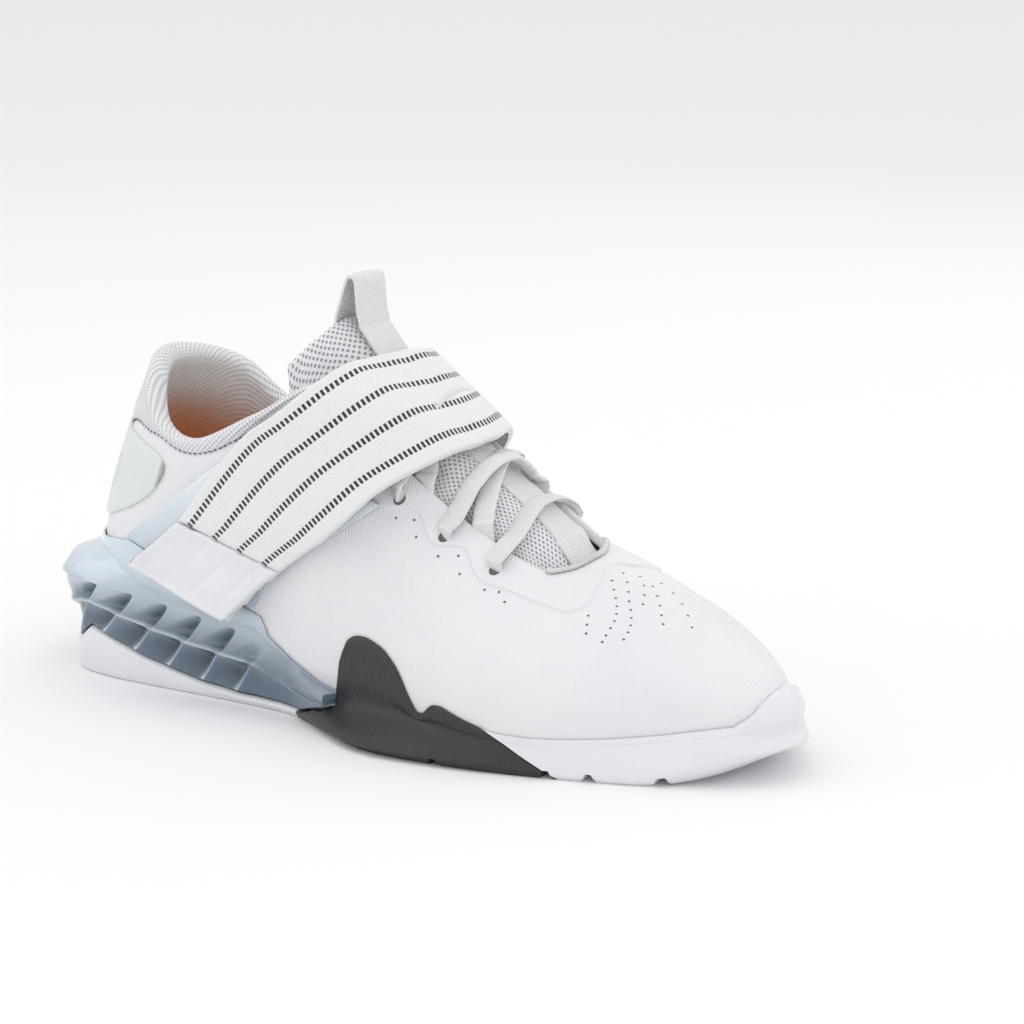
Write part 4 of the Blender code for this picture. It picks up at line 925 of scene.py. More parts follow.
pins = []
for (at_a, share_a), (at_b, share_b), count in TOE_PINS:
    pins += list(zip(np.linspace(at_a, at_b, count), np.linspace(share_a, share_b, count)))
pins += [(side * at % STATION_COUNT, share) for at, share in EYELET_PINS for side in (1, -1)]
pin_at, pin_share = np.array(pins).T
centres, outs = on_upper(pin_at % STATION_COUNT, pin_share)
pinholes = chips("pinholes", centres, np.tile((1.0, 0.1, 0), (len(centres), 1)), outs,
                 PINHOLE, PINHOLE, 0.00006, shade_grey)

# The thread keeps its distance from the knit's edge, with even stitches.
fine = np.linspace(THREAD_START, THREAD_STOP, 1200)
share = edge_share(fine) + THREAD_RISE / np.interp(fine, all_round, wall_height)
share = np.minimum(share, 1.0)
run = run_along(on_upper(fine, share)[0])
at = np.interp(np.arange(STITCH_PITCH / 2, run[-1], STITCH_PITCH), run, fine)
share = np.interp(at, fine, share)
centres, outs = on_upper(at, share)
ahead = on_upper(at + 0.03, np.append(share[1:], share[-1]))[0]
collar_thread = chips("collar_thread", centres, ahead - centres, outs, 0.0010, THREAD_HALF,
                      THREAD_HALF * 0.7, thread_dark)

rim_at = np.concatenate([np.linspace(*run) for run in OVERLOCK_RUNS]) % STATION_COUNT
centres, outs = on_upper(rim_at, 0.985)
rim_tops = on_upper(rim_at, 1.0)[0] + UP * CROWN_RISE
overlock = chips("overlock", (centres + rim_tops) / 2 + UP * 0.0003, rim_tops - centres,
                 outs, 0.0013, 0.00050, 0.0007, thread_white)

# Insole
# Sock liner of tan knit on foam, laid on the wedge inside the upper.

INSOLE_THICKNESS = 0.0040
INSOLE_AIR = 0.0011
INSOLE_END = 0.6

insole_tan = finish_of("insole_tan", (0.42, 0.22, 0.13), 0.9, Sheen_Weight=0.3)
where = parts_of(place_in("Object"))
cells = cells_of(where[0], where[1], 0.0012, 0.0012)
paint(cells, (0.44, 0.23, 0.13), (0.20, 0.10, 0.06))
emboss(cells, -0.0003)
across = np.linspace(0, 1, 12)[:, None]
sections = []
for at in np.linspace(HEEL_BACK - INSOLE_END, INSOLE_END, 60):
    sides = np.array((at, STATION_COUNT - at))
    rim = last_point(sides, 0.0) - plan_out(sides) * (UPPER_WALL + INSOLE_AIR)
    low = rim[0] + (rim[1] - rim[0]) * across + UP * SKIN_GAP
    dish = 1 - 0.45 * np.sin(math.pi * across)
    sections.append(np.concatenate((low, (low + UP * INSOLE_THICKNESS * dish)[::-1])))
sock_liner = add_piece("sock_liner", *rings(sections), insole_tan)
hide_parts("insole")

# Heel wing and badge
# The wedge's thin film arm runs up the lateral quarter under the strap, and a pale
# grey-green film with a dark front edge is welded to the heel.

WING_REAR = ((0.122, 0.460), (0.187, 0.575), (0.255, 0.700), (0.315, 0.800))
WING_FRONT = ((0.325, 0.310), (0.357, 0.425), (0.420, 0.530), (0.490, 0.660))
WING_WALL = 0.0012
WING_GRID = (70, 44)
BADGE_ROWS = ((11.5, 0.668, 0.682), (11.53, 0.645, 0.694), (11.6, 0.615, 0.708),
              (11.72, 0.587, 0.721), (11.9, 0.560, 0.731), (12.1, 0.540, 0.738),
              (12.6, 0.500, 0.755), (13.2, 0.485, 0.770), (14.0, 0.480, 0.780))
BADGE_LIFT = 0.0012
BADGE_WALL = 0.0009
BADGE_START = 11.5
BADGE_BORDER = 11.60
BADGE_LINES = 30
BADGE_WINDOW = (0.62, 1.25, 0.085)
CORE_SHARE = 0.55
CORE_DROP = 0.030


def cad_tree(*names):
    """The faces of built solids, in the same frame as the tables."""
    points = []
    faces = []
    for name in names:
        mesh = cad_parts[name].data
        start = len(points)
        points += [vertex.co + Vector((HEEL_REST, 0, 0)) for vertex in mesh.vertices]
        faces += [[start + i for i in polygon.vertices] for polygon in mesh.polygons]
    return BVHTree.FromPolygons(points, faces)


def core_of(point):
    """The place in the foot's middle that a place outside is seen from."""
    drop = CORE_DROP * max(0.0, 1 - abs(point[1]) / CORE_DROP)
    return np.array((point[0], 0.0, min(point[2] - drop, CORE_SHARE * INSTEP_HEIGHT)))


def soften(field, rounds):
    """A field of numbers, each averaged with its neighbours some times over."""
    for _ in range(rounds):
        edged = np.pad(field, 1, mode="edge")
        field = sum(edged[i:i + field.shape[0], j:j + field.shape[1]]
                    for i in range(3) for j in range(3)) / 9
    return field


def drawn_to(grid, tree, lift, rounds, least=None):
    """A grid moved out or in from the foot's middle until it lies on a solid."""
    flat = grid.reshape(-1, 3)
    rays = flat - np.array([core_of(point) for point in flat])
    reach = np.linalg.norm(rays, axis=1)
    rays /= reach[:, None]
    move = np.full(len(flat), np.nan)
    for number, (point, ray) in enumerate(zip(flat, rays)):
        start = Vector(point + ray * LENGTH)
        spot = tree.ray_cast(start, Vector(-ray))[0]
        if spot is not None and (LENGTH - (spot - start).length) > -reach[number] * 0.5:
            move[number] = LENGTH - (spot - start).length + lift
    move = move.reshape(grid.shape[:2])
    if least is not None:
        move = np.maximum(np.nan_to_num(move, nan=least), least)
    while np.isnan(move).any():
        edged = np.pad(move, 1, constant_values=np.nan)
        near = np.stack([edged[i:i + move.shape[0], j:j + move.shape[1]]
                         for i in range(3) for j in range(3)])
        known = ~np.isnan(near)
        mean = np.where(known, near, 0).sum(0) / np.maximum(known.sum(0), 1)
        fill = np.isnan(move) & known.any(0)
        if not fill.any():
            move[np.isnan(move)] = 0.0
        move[fill] = mean[fill]
    move = soften(move, rounds)
    return grid + rays.reshape(grid.shape) * move[:, :, None]


def grid_normals(grid, out=None):
    """Unit normals of a point grid, looking away from the foot's middle."""
    normal = np.cross(np.gradient(grid, axis=0), np.gradient(grid, axis=1))
    normal /= np.maximum(np.linalg.norm(normal, axis=2), 1e-9)[:, :, None]
    middle = grid.shape[0] // 2, grid.shape[1] // 2
    away = grid[middle] - core_of(grid[middle]) if out is None else np.array(out)
    return -normal if normal[middle].dot(away) < 0 else normal


def sheet_of(top, wall, round_edge):
    """Closed sheet under a grid of its top points, with its edges rounded."""
    columns, rows = top.shape[:2]
    normal = grid_normals(top)
    a, b = (np.minimum(np.arange(count), np.arange(count)[::-1]) for count in (columns, rows))
    steps = np.minimum(a[:, None], b)
    top = top - normal * (round_edge * np.maximum(0, 1 - steps / 2.0) ** 2)[:, :, None]
    under = top - normal * np.broadcast_to(wall, top.shape[:2])[:, :, None]
    points = np.concatenate((top.reshape(-1, 3), under.reshape(-1, 3)))
    over = np.array(stitch(columns, rows))
    faces = over.tolist() + (over[:, ::-1] + columns * rows).tolist()
    total = columns * rows
    number = np.arange(total).reshape(columns, rows)
    border = np.r_[number[0, :-1], number[:-1, -1], number[-1, :0:-1], number[:0:-1, 0]]
    ahead = np.roll(border, -1)
    return points, faces + np.stack((border, ahead, ahead + total, border + total), 1).tolist()


def grid_spots(grid):
    """Metres along and across a grid at each point, twice, for a closed sheet."""
    along_it = run_along(grid.mean(axis=1))
    across_it = np.r_[0, np.cumsum(np.linalg.norm(np.diff(grid, axis=1), axis=2).mean(axis=0))]
    both = np.stack(np.meshgrid(along_it, across_it, indexing="ij"), axis=-1).reshape(-1, 2)
    return np.concatenate((both, both))


film = finish_of("heel_film", (0.66, 0.72, 0.75), 0.24, Coat_Weight=0.6, Coat_Roughness=0.12,
                 Subsurface_Weight=0.15, Subsurface_Scale=0.002)
where = place_in("Object")
fog = times_plus(noise_of(where, 35.0), 0.02, parts_of(where)[2])
paint(fade_of(fog, 0.045, 0.095), (0.42, 0.50, 0.57), (0.74, 0.79, 0.83))
emboss(noise_of(where, 120.0), 0.0002)

wing_tree = cad_tree("heel_wing")
rear, front = (along(rows_of(line, (LENGTH, INSTEP_HEIGHT)), np.linspace(0, 3, WING_GRID[0]))
               for line in (WING_REAR, WING_FRONT))
wing_top = []
for a, b in zip(rear, front):
    for f in np.linspace(0.01, 0.99, WING_GRID[1]):
        x, z = a + (b - a) * f
        spot = wing_tree.ray_cast(Vector((x, -BALL_WIDTH, z)), Vector(MEDIAL))[0]
        wing_top.append((x, np.nan if spot is None else spot.y, z))
wing_top = np.array(wing_top).reshape(*WING_GRID, 3)
missing = np.isnan(wing_top[:, :, 1])
wing_top[missing, 1] = np.nanmean(wing_top[:, :, 1])
wing_top[:, :, 1] = soften(wing_top[:, :, 1], 3)
wing = add_piece("wing_film", *sheet_of(wing_top, WING_WALL, 0.0005), film,
                 grid_spots(wing_top))
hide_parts("heel_wing")

badge_look = finish_of("badge_film", (0.60, 0.66, 0.64), 0.38, Coat_Weight=0.2)
border = marked("border")
window = marked("window")
weave = parts_of(place_in("UV"))
cells = cells_of(weave[0], weave[1], 0.0010, 0.0010)
tone = mixed_of(noise_of(place_in("Object"), 80.0), (0.64, 0.685, 0.67), (0.72, 0.75, 0.74))
mesh_tone = mixed_of(cells, (0.74, 0.745, 0.75), (0.42, 0.43, 0.44))
tone = mixed_of(window, tone, mesh_tone)
paint(border, tone, (0.36, 0.40, 0.39))
emboss(times(cells, window), -0.0003)

rows_read = np.array(BADGE_ROWS)
badge_at = np.linspace(BADGE_START, STATION_COUNT - BADGE_START, 150)
half = np.minimum(badge_at, STATION_COUNT - badge_at)
low, high = (np.interp(half, rows_read[:, 0], rows_read[:, k]) * INSTEP_HEIGHT for k in (1, 2))
badge_top = []
climbs = []
for share in np.linspace(0, 1, BADGE_LINES):
    climb = height_share(badge_at, low + (high - low) * share)
    badge_top.append(off_last(badge_at, climb, BADGE_LIFT))
    climbs.append((low + (high - low) * share) / INSTEP_HEIGHT)
badge_top = np.stack(badge_top, axis=1)
climbs = np.stack(climbs, axis=1)
badge = add_piece("badge_film", *sheet_of(badge_top, BADGE_WALL, 0.0003), badge_look,
                  grid_spots(badge_top))
mark = soft_step((BADGE_BORDER - half) / 0.06)[:, None] * np.ones(BADGE_LINES)
mark_points(badge, "border", np.stack((mark, mark)))
middle, wide, tall = BADGE_WINDOW
reach = ((HEEL_BACK - half[:, None]) / wide) ** 4 + ((climbs - middle) / tall) ** 4
mark = soft_step((1 - reach) / 0.3 + 0.5)
mark_points(badge, "window", np.stack((mark, mark)))
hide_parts("heel_badge")

# Tongue
# Padded spacer mesh, sewn in at its toe end, its sides tucked under the eyestay. A flat
# ribbon runs down its middle and a ribbon loop stands at its top.

# From the toe end to the top: the ridge's x, y, z, half width, fall of the sides, thickness.
TONGUE_SECTIONS = (
    (0.743, 0.06, 0.440, 0.25, 0.040, 0.7),
    (0.690, 0.06, 0.520, 0.27, 0.060, 0.8),
    (0.635, 0.05, 0.640, 0.22, 0.085, 0.9),
    (0.575, 0.04, 0.748, 0.24, 0.110, 1.0),
    (0.515, 0.03, 0.875, 0.26, 0.160, 1.1),
    (0.463, 0.02, 0.990, 0.27, 0.260, 1.3),
    (0.425, 0.01, 1.085, 0.29, 0.270, 1.4),
    (0.388, 0.00, 1.160, 0.24, 0.170, 1.1),
)
TONGUE_THICKNESS = 0.0045
TONGUE_PUFF = 0.0010
RIBBON_HALF_WIDTH = 0.0065
RIBBON_THICKNESS = 0.0008
LOOP_HALF_WIDTH = 0.0090
LOOP_TOP = (0.403, 1.262)
LOOP_TURN = 0.0026
LOOP_LEAN = 0.0030
LOOP_AIR = 0.0006
LOOP_BACK_AIR = 0.0026
LOOP_POINTS = 150
LOOP_SMOOTH = 17
LOOP_CREST = 92
LOOP_CREST_REACH = 16.0

tongue_rows = rows_of(TONGUE_SECTIONS, (LENGTH, BALL_WIDTH, INSTEP_HEIGHT, BALL_WIDTH,
                                        INSTEP_HEIGHT, TONGUE_THICKNESS))
tongue_last = len(tongue_rows) - 1


def mean_along(values, count):
    """Running mean of an odd count of values."""
    return np.convolve(np.pad(values, count // 2, mode="edge"), np.ones(count) / count,
                       mode="valid")


def face_of(run):
    """The way the face of a band looks that runs up the ridge."""
    run = unit(run * (1, 0, 1))
    return np.stack((run[:, 2], 0 * run[:, 0], -run[:, 0]), axis=1)


def tongue_line(at):
    """Ridge points of the tongue, the way its face looks out, and its thickness."""
    at = np.atleast_1d(np.asarray(at, float))
    read = along(tongue_rows, at)
    step = 0.05
    run = (along(tongue_rows, np.minimum(at + step, tongue_last))
           - along(tongue_rows, np.maximum(at - step, 0)))[:, 0:3]
    return read[:, 0:3], face_of(run), read[:, 5:6]


tongue_at = np.linspace(0, tongue_last, 130)
ridge, face, thick = tongue_line(tongue_at)
read = along(tongue_rows, tongue_at)
f = np.linspace(-1, 1, 72)
drop = read[:, 4:5] * np.abs(f) ** 2.2
tongue_top = (ridge[:, None, :] - face[:, None, :] * drop[:, :, None]
              + MEDIAL * (read[:, 3:4] * f)[:, :, None])
tongue_top = drawn_to(tongue_top, cad_tree("tongue"), 0.0, 5)
channel = np.abs(np.sin(math.pi * 1.5 * f)) ** 0.6
wrap = np.clip((1 - np.abs(f)) / 0.06, 0, 1) ** 0.5
tongue_top += (grid_normals(tongue_top, (0.5, 0, 0.8))
               * ((TONGUE_PUFF * channel - 0.0002) * wrap)[None, :, None])

tongue_mesh = finish_of("tongue_mesh", (0.66, 0.67, 0.69), 0.85, Sheen_Weight=0.3)
weave = parts_of(place_in("UV"))
cells = cells_of(weave[0], weave[1], 0.00135, 0.00115)
paint(cells, (0.76, 0.765, 0.78), (0.34, 0.345, 0.365))
emboss(cells, -0.0005)
emboss(noise_of(place_in("Object"), 500.0), 0.0001)
edge_wall = thick * (1 - 0.75 * np.abs(f)[None, :] ** 6)
tongue_pad = add_piece("tongue_pad", *sheet_of(tongue_top, edge_wall, 0.0010), tongue_mesh,
                       grid_spots(tongue_top), sharp=80)
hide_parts("tongue")

ribbon_white = finish_of("ribbon_white", (0.80, 0.80, 0.815), 0.62, Sheen_Weight=0.3)
weave = parts_of(place_in("UV"))
paint(ribs_of(weave[0], 0.0008), (0.74, 0.74, 0.76), (0.82, 0.82, 0.83))
emboss(ribs_of(weave[0], 0.0008), 0.00014)
emboss(ribs_of(weave[1], 0.0006), 0.00008)
ridge = tongue_line(np.linspace(0.82, 4.78, 120))[0]
band = ridge[:, None, :] + MEDIAL * (
    RIBBON_HALF_WIDTH * 0.98 * np.linspace(-1, 1, 16))[None, :, None]
band = drawn_to(band, cad_tree("tongue_ribbon"), 0.0, 4)
ribbon = add_piece("ribbon_band", *sheet_of(band, RIBBON_THICKNESS, 0.0002), ribbon_white,
                   grid_spots(band))
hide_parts("tongue_ribbon")

front, out, _ = tongue_line(np.linspace(5.2, 6.5, 30))
front = front + out * (LOOP_AIR + np.linspace(0, 1, 30)[:, None] ** 2 * LOOP_LEAN)
back, inward, deep = tongue_line(np.linspace(tongue_last, tongue_last - 0.9, 14))
back = back - inward * (deep + LOOP_BACK_AIR + RIBBON_THICKNESS)
loop_crest = np.array((LOOP_TOP[0] * LENGTH, 0, LOOP_TOP[1] * INSTEP_HEIGHT))
turn = [loop_crest + LOOP_TURN * np.array((math.cos(a), 0, math.sin(a)))
        for a in np.linspace(0.1, math.pi - 0.1, 12)]
path = np.vstack((front, turn, back))
path = along(path, np.linspace(0, len(path) - 1, LOOP_POINTS))
smooth = np.stack([mean_along(path[:, k], LOOP_SMOOTH) for k in range(3)], axis=1)
near_crest = np.exp(-((np.arange(LOOP_POINTS) - LOOP_CREST) / LOOP_CREST_REACH) ** 2)
path = smooth + (path - smooth) * near_crest[:, None]
face = face_of(np.gradient(path, axis=0))
bow = np.linspace(-1, 1, 14)
band = (path[:, None, :] + face[:, None, :] * (RIBBON_THICKNESS - 0.0006 * bow ** 2)[:, None]
        + MEDIAL * (LOOP_HALF_WIDTH * bow)[None, :, None])
loop_band = add_piece("loop_band", *sheet_of(band, 0.0009, 0.0002), ribbon_white,
                      grid_spots(band))
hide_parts("pull_loop")

# Laces
# Flat-oval white laces. The bar joins the first pair of eyelets, and each end of a crossing
# dives through an eyelet of the raised layer or comes up from under the throat's edge.

LACE_WIDTH = 0.0080
LACE_THICKNESS = 0.0024
LACE_LIFT = 0.0004
LACE_DIVE = 0.0030
BAR_CROWN = 0.010
CROSS_CROWN = 0.006
CROSS_LEAD = 0.60
LEAD_SINKS = ((0.90, 0.0048), (0.975, 0.0044), (1.0, 0.0034))
EYELET_STATIONS = (5.5, 6.85, 7.75)
EYELET_SHARE = 0.88
EYELET_HALF_WIDTH = 0.0024
INSTEP_FACE = (0.55, 0.0, 0.83)

lace_white = finish_of("lace_white", (0.82, 0.82, 0.83), 0.72, Sheen_Weight=0.3)
weave = parts_of(place_in("UV"))
strands = ribs_of(sum_of("ADD", weave[0], weave[1]), 0.0009)
other = ribs_of(sum_of("SUBTRACT", weave[0], weave[1]), 0.0009)
braid = times(strands, other)
paint(braid, (0.76, 0.76, 0.775), (0.84, 0.84, 0.845))
emboss(braid, 0.00018)

under_laces = cad_tree("upper", "tongue", "tongue_ribbon")


def eyelet(row, side, share):
    """Place and way out at a station on the lateral, -1, or the medial side, 1."""
    at = row if side < 0 else STATION_COUNT - row
    place, out = on_upper(np.array([at]), share)
    return place[0], out[0]


def lace_piece(name, start, stop, crown, trees, lead=None):
    """A soft flat lace laid over what lies below it, its ends turned inward. lead is where
    it comes up from under the throat's edge."""
    (a, out_a), (b, out_b) = start, stop
    middle = (a + b) / 2 + UP * crown
    path = along(np.array((a, middle, b)), np.linspace(0, 2, 60))
    for tree in trees:
        grid = np.repeat(path[:, None, :], 3, axis=1)
        run = np.gradient(path, axis=0)
        side = unit(np.cross(run, INSTEP_FACE))
        grid = grid + side[:, None, :] * (LACE_WIDTH * np.array((-0.4, 0, 0.4)))[None, :, None]
        laid = drawn_to(grid, tree, LACE_LIFT + LACE_THICKNESS / 2, 0, least=0.0)
        lift = np.linalg.norm(laid - grid, axis=2).max(axis=1)
        lift = np.max([np.roll(lift, k) for k in (-2, -1, 0, 1, 2)], axis=0)
        away = unit(path - np.array([core_of(point) for point in path]))
        path = path + away * mean_along(lift, 11)[:, None]
    ends = [a - out_a * LACE_DIVE * f for f in (1.0, 0.3)] if lead is None else lead
    tail = [b - out_b * LACE_DIVE * f for f in (0.3, 1.0)]
    path = np.array(list(ends) + list(path[2 if lead is None else 4:-2]) + tail)
    path = along(path, np.linspace(0, len(path) - 1, 110))
    run = unit(np.gradient(path, axis=0))
    out = path - np.array([core_of(point) for point in path])
    out[:, 1] *= 0.6
    side = unit(np.cross(run, out))
    up = np.cross(side, run)
    up = np.where((up * out).sum(axis=1)[:, None] < 0, -up, up)
    reach = np.linspace(0, 1, len(path))
    gather = 0.72 + 0.28 * soft_step((1 - reach) / 0.16)
    if lead is None:
        gather *= 0.72 + 0.28 * soft_step(reach / 0.16)
    turns = np.linspace(0, 2 * math.pi, 20, endpoint=False)
    wide, tall = (np.sign(wave) * np.abs(wave) ** 0.8 * size / 2 for wave, size in
                  ((np.cos(turns), LACE_WIDTH), (np.sin(turns), LACE_THICKNESS)))
    sections = (path[:, None, :] + side[:, None, :] * wide[None, :, None]
                * gather[:, None, None] + up[:, None, :] * tall[None, :, None]
                * (2 - gather)[:, None, None] ** 0.5)
    points, faces = rings(sections)
    round_it = np.cumsum(np.abs(np.diff(np.r_[wide[-1], wide])))
    spots = np.stack(np.meshgrid(run_along(path), round_it, indexing="ij"), axis=-1)
    return add_piece(name, points, faces, lace_white, spots, sharp=80), points, faces


first, second, third = EYELET_STATIONS
bar, _, _ = lace_piece("bar_lace", eyelet(first, -1, EYELET_SHARE),
                       eyelet(first, 1, EYELET_SHARE), BAR_CROWN, (under_laces,))
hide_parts("lace_bar")
for number, (low_row, high_row) in enumerate(((first, second), (second, third))):
    below = [under_laces]
    for side in (-1, 1):
        lead = []
        for share, sink in LEAD_SINKS:
            place, out = eyelet(low_row + CROSS_LEAD, side, share)
            lead.append(place - out * sink)
        strand, points, faces = lace_piece(
            "cross_lace_%d%s" % (number + 1, "a" if side < 0 else "b"),
            eyelet(low_row + CROSS_LEAD, side, 1.0), eyelet(high_row, -side, EYELET_SHARE),
            CROSS_CROWN, below, lead)
        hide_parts("lace_cross_%d" % (number + 1))
        below.append(BVHTree.FromPolygons([Vector(p) for p in points], faces))

holes = [eyelet(row, side, EYELET_SHARE - 0.017) for row in EYELET_STATIONS
         for side in (-1, 1)]
eyelet_holes = chips("eyelet_holes", [place for place, _ in holes],
                     [(0.8, 0.0, -0.6)] * len(holes), [out for _, out in holes],
                     EYELET_HALF_WIDTH * 0.8, EYELET_HALF_WIDTH, 0.00008, shade_grey, 24)

# Strap
# A wide woven strap with four dashed lines drawn over the instep, sewn in on the medial
# side. Its lateral end is sealed in a smooth plastic cap.

# From the cap's end over the ridge to the medial side: x, y, z of the upper, then lower edge.
STRAP_SECTIONS = (
    (0.147, -0.33, 0.392, 0.300, -0.33, 0.275),
    (0.223, -0.33, 0.550, 0.373, -0.33, 0.442),
    (0.307, -0.34, 0.767, 0.460, -0.33, 0.600),
    (0.350, -0.345, 0.880, 0.510, -0.30, 0.710),
    (0.403, -0.26, 0.985, 0.553, -0.18, 0.780),
    (0.450, -0.07, 1.050, 0.575, 0.00, 0.805),
    (0.463, 0.09, 1.055, 0.575, 0.12, 0.805),
    (0.430, 0.25, 0.970, 0.545, 0.24, 0.735),
    (0.375, 0.33, 0.830, 0.485, 0.30, 0.600),
    (0.310, 0.33, 0.670, 0.425, 0.32, 0.460),
    (0.255, 0.33, 0.545, 0.370, 0.32, 0.340),
)
STRAP_THICKNESS = 0.0022
CAP_WALL = 0.0012
STRAP_WIDTH = 0.042
DASH_LINES = (0.115, 0.360, 0.605, 0.850)
DASH_PITCH = 0.0019
DASH_LONG = 0.56
DASH_HALF = 0.0011
UPPER_TUCK = 0.14
TUCK_AT = 3.7
TUCK_REACH = 1.2
# Soft crease over the ridge: row of the sections, width in rows, depth, slant in rows.
RIDGE_FOLD = (4.75, 0.22, 0.0008, 0.25)

strap_rows = rows_of(STRAP_SECTIONS, (LENGTH, BALL_WIDTH, INSTEP_HEIGHT) * 2)


def strap_grid(at, rows, tree, rounds):
    """The band's face at places along it, and the share across it of each line."""
    read = along(strap_rows, at)
    f = np.linspace(0.006, 0.994, rows)
    tuck = UPPER_TUCK * np.exp(-((at - TUCK_AT) / TUCK_REACH) ** 2)[:, None]
    place = tuck + (1 - tuck) * f
    grid = read[:, None, 0:3] + (read[:, None, 3:6] - read[:, None, 0:3]) * place[:, :, None]
    return drawn_to(grid, tree, 0.0, rounds), f


def grooves(f, half_width):
    """Share of a soft channel along each dashed line, at shares across the strap."""
    return sum(np.exp(-((f - line) * STRAP_WIDTH / half_width) ** 2) for line in DASH_LINES)


strap_weave = finish_of("strap_weave", (0.80, 0.80, 0.815), 0.66, Sheen_Weight=0.25)
weave = parts_of(place_in("UV"))
share = marked("share")
dash = None
for line in DASH_LINES:
    off = times(sum_of("SUBTRACT", share, line), STRAP_WIDTH)
    slant = times_plus(off, 0.35, weave[0])
    cycle = sum_of("FRACT", sum_of("DIVIDE", slant, DASH_PITCH))
    width = fade_of(sum_of("ABSOLUTE", off), DASH_HALF * 0.85, DASH_HALF * 1.15, 1.0, 0.0)
    middle = sum_of("ABSOLUTE", sum_of("SUBTRACT", cycle, 0.5))
    length = fade_of(middle, DASH_LONG / 2 - 0.05, DASH_LONG / 2 + 0.05, 1.0, 0.0)
    one = times(width, length)
    dash = one if dash is None else sum_of("MAXIMUM", dash, one)
fine = ribs_of(weave[1], 0.0008)
cross = ribs_of(weave[0], 0.0007)
ground = mixed_of(fine, (0.76, 0.76, 0.775), (0.83, 0.83, 0.84))
thread = mixed_of(cross, (0.012, 0.012, 0.015), (0.032, 0.032, 0.036))
paint(dash, ground, thread)
emboss(fine, 0.00006)
emboss(cross, 0.00005)
emboss(dash, -0.00015)

strap_at = np.linspace(1.0, len(strap_rows) - 1, 330)
strap_top, f = strap_grid(strap_at, 96, cad_tree("strap"), 14)
fold, fold_width, fold_depth, fold_slant = RIDGE_FOLD
near_fold = np.exp(-((strap_at[:, None] - fold - fold_slant * (f - 0.5)) / fold_width) ** 2)
strap_top = strap_top - grid_normals(strap_top) * (fold_depth * near_fold)[:, :, None]
strap_top = strap_top - grid_normals(strap_top) * (0.00022 * grooves(f, 0.0016))[None, :, None]
strap_band = add_piece("strap_band", *sheet_of(strap_top, STRAP_THICKNESS, 0.0006),
                       strap_weave, grid_spots(strap_top), sharp=70)
mark_points(strap_band, "share", np.tile(f, (2 * len(strap_top), 1)))
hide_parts("strap")

cap_plastic = finish_of("cap_plastic", (0.76, 0.77, 0.79), 0.30, Coat_Weight=0.35,
                        Coat_Roughness=0.15, Subsurface_Weight=0.1, Subsurface_Scale=0.002)
mottle = noise_of(place_in("Object"), 50.0)
paint(mottle, (0.70, 0.71, 0.735), (0.79, 0.795, 0.81))
feed("Roughness", fade_of(mottle, 0.3, 0.7, 0.26, 0.36))
cap_top, f = strap_grid(np.linspace(0.0, 0.994, 90), 96, cad_tree("strap_cap"), 6)
reach = np.linspace(0, 1, 90)[:, None]
relief = (-0.00035 * grooves(f, 0.0014) * soft_step((reach - 0.12) / 0.05)
          + 0.0006 * (1 - soft_step((reach - 0.07) / 0.03)))
cap_top = cap_top + grid_normals(cap_top) * relief[:, :, None]
cap = add_piece("cap_shell", *sheet_of(cap_top, STRAP_THICKNESS + CAP_WALL, 0.0009),
                cap_plastic, grid_spots(cap_top), sharp=70)
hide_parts("strap_cap")

# Floor, light and camera
# A pale seamless floor under soft studio light, seen from the shoe's lateral front.

STAGE_REACH = 12.0
STAGE_BACK = 9.0
STAGE_BEND = 2.5
EYE = (0.6447, -0.8288, 0.3075)
EYE_TURN = math.radians(32.23)
EYE_TILT = math.radians(13.32)

stage_white = finish_of("stage_white", (0.90, 0.90, 0.905), 0.9, Specular_IOR_Level=0.05)
bpy.ops.mesh.primitive_plane_add(size=STAGE_REACH * 2, location=(0, 0, 0))
floor = bpy.context.object
floor.name = "floor"
floor.data.materials.append(stage_white)

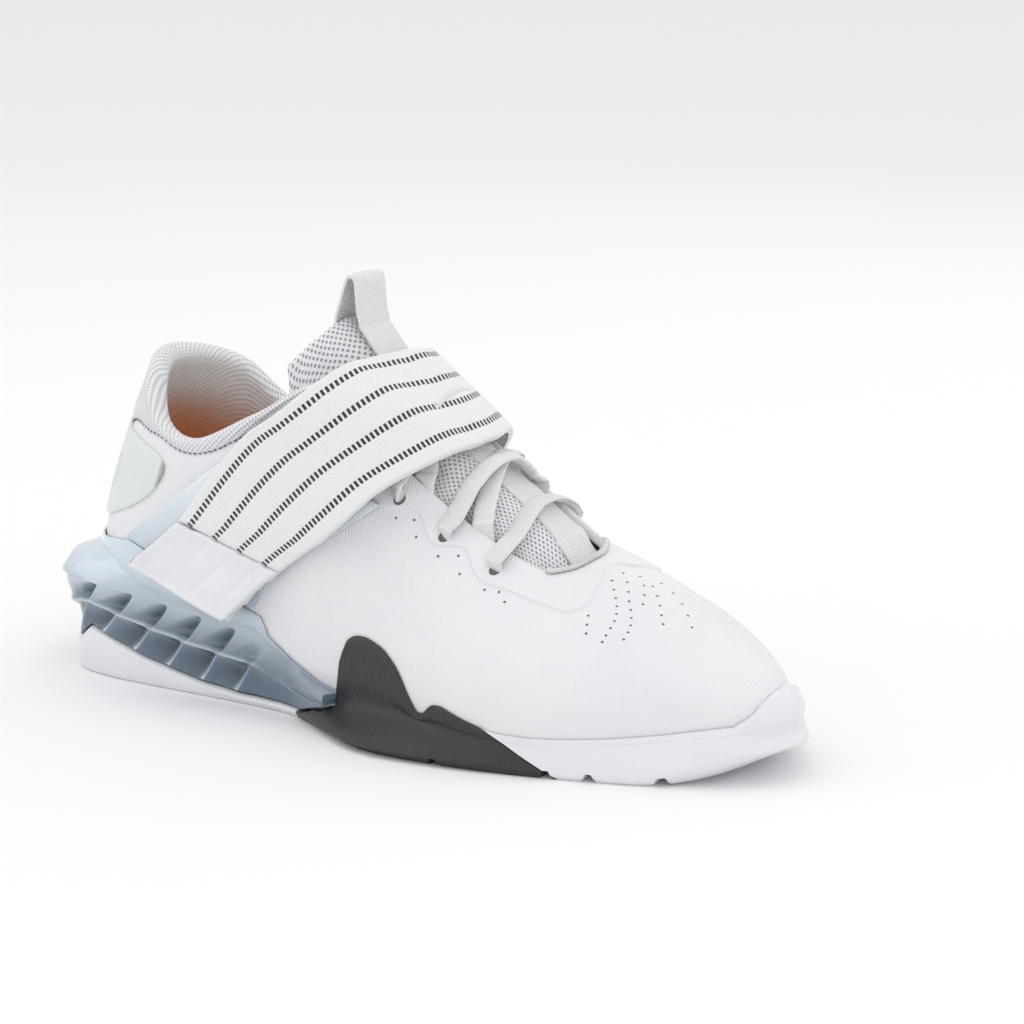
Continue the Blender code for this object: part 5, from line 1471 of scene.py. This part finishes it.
away = Vector((-math.sin(EYE_TURN), math.cos(EYE_TURN), 0.0))
side = Vector((math.cos(EYE_TURN), math.sin(EYE_TURN), 0.0))
sweep = [(STAGE_BACK, 0.0005)]
sweep += [(STAGE_BACK + STAGE_BEND * math.sin(bend), STAGE_BEND * (1 - math.cos(bend)))
          for bend in np.linspace(0.1, math.pi / 2, 10)]
sweep.append((STAGE_BACK + STAGE_BEND, STAGE_REACH))
sheet = [away * reach + side * across + Vector((0, 0, level))
         for reach, level in sweep for across in (-STAGE_REACH, STAGE_REACH)]
mesh = bpy.data.meshes.new("backdrop")
mesh.from_pydata(sheet, [], [(2 * i, 2 * i + 1, 2 * i + 3, 2 * i + 2)
                             for i in range(len(sweep) - 1)])
mesh.materials.append(stage_white)
mesh.shade_smooth()
backdrop = put_in_scene("backdrop", mesh)
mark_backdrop(floor, backdrop)


def soft_light(name, place, target, size, power):
    lamp = bpy.data.lights.new(name, "AREA")
    lamp.shape = "RECTANGLE"
    lamp.size, lamp.size_y = size
    lamp.energy = power
    light = put_in_scene(name, lamp)
    light.location = place
    light.rotation_euler = (Vector(target) - Vector(place)).to_track_quat("-Z", "Y").to_euler()


soft_light("overhead", (0.05, -0.10, 1.35), (0.05, 0, 0), (1.5, 1.2), 2.8)
soft_light("left_window", (-1.00, -0.75, 0.75), (0.05, 0, 0.05), (0.8, 0.8), 1.6)
soft_light("right_fill", (1.30, -0.55, 0.65), (0.05, 0, 0.05), (0.9, 0.9), 1.0)
soft_light("back_edge", (0.20, 1.15, 0.80), (0.05, 0, 0.06), (1.2, 0.5), 1.2)

world = bpy.data.worlds.new("studio")
world.use_nodes = True
background = world.node_tree.nodes["Background"]
background.inputs["Color"].default_value = (0.985, 0.99, 1.0, 1.0)
background.inputs["Strength"].default_value = 0.95
bpy.context.scene.world = world
bpy.context.scene.view_settings.view_transform = "Standard"

lens = bpy.data.cameras.new("eye")
lens.sensor_width = 36.0
lens.lens = 102.2
lens.clip_start = 0.01
eye = put_in_scene("eye", lens)
eye.location = EYE
eye.rotation_euler = (math.pi / 2 - EYE_TILT, 0.0, EYE_TURN)
bpy.context.scene.camera = eye

low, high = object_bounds()
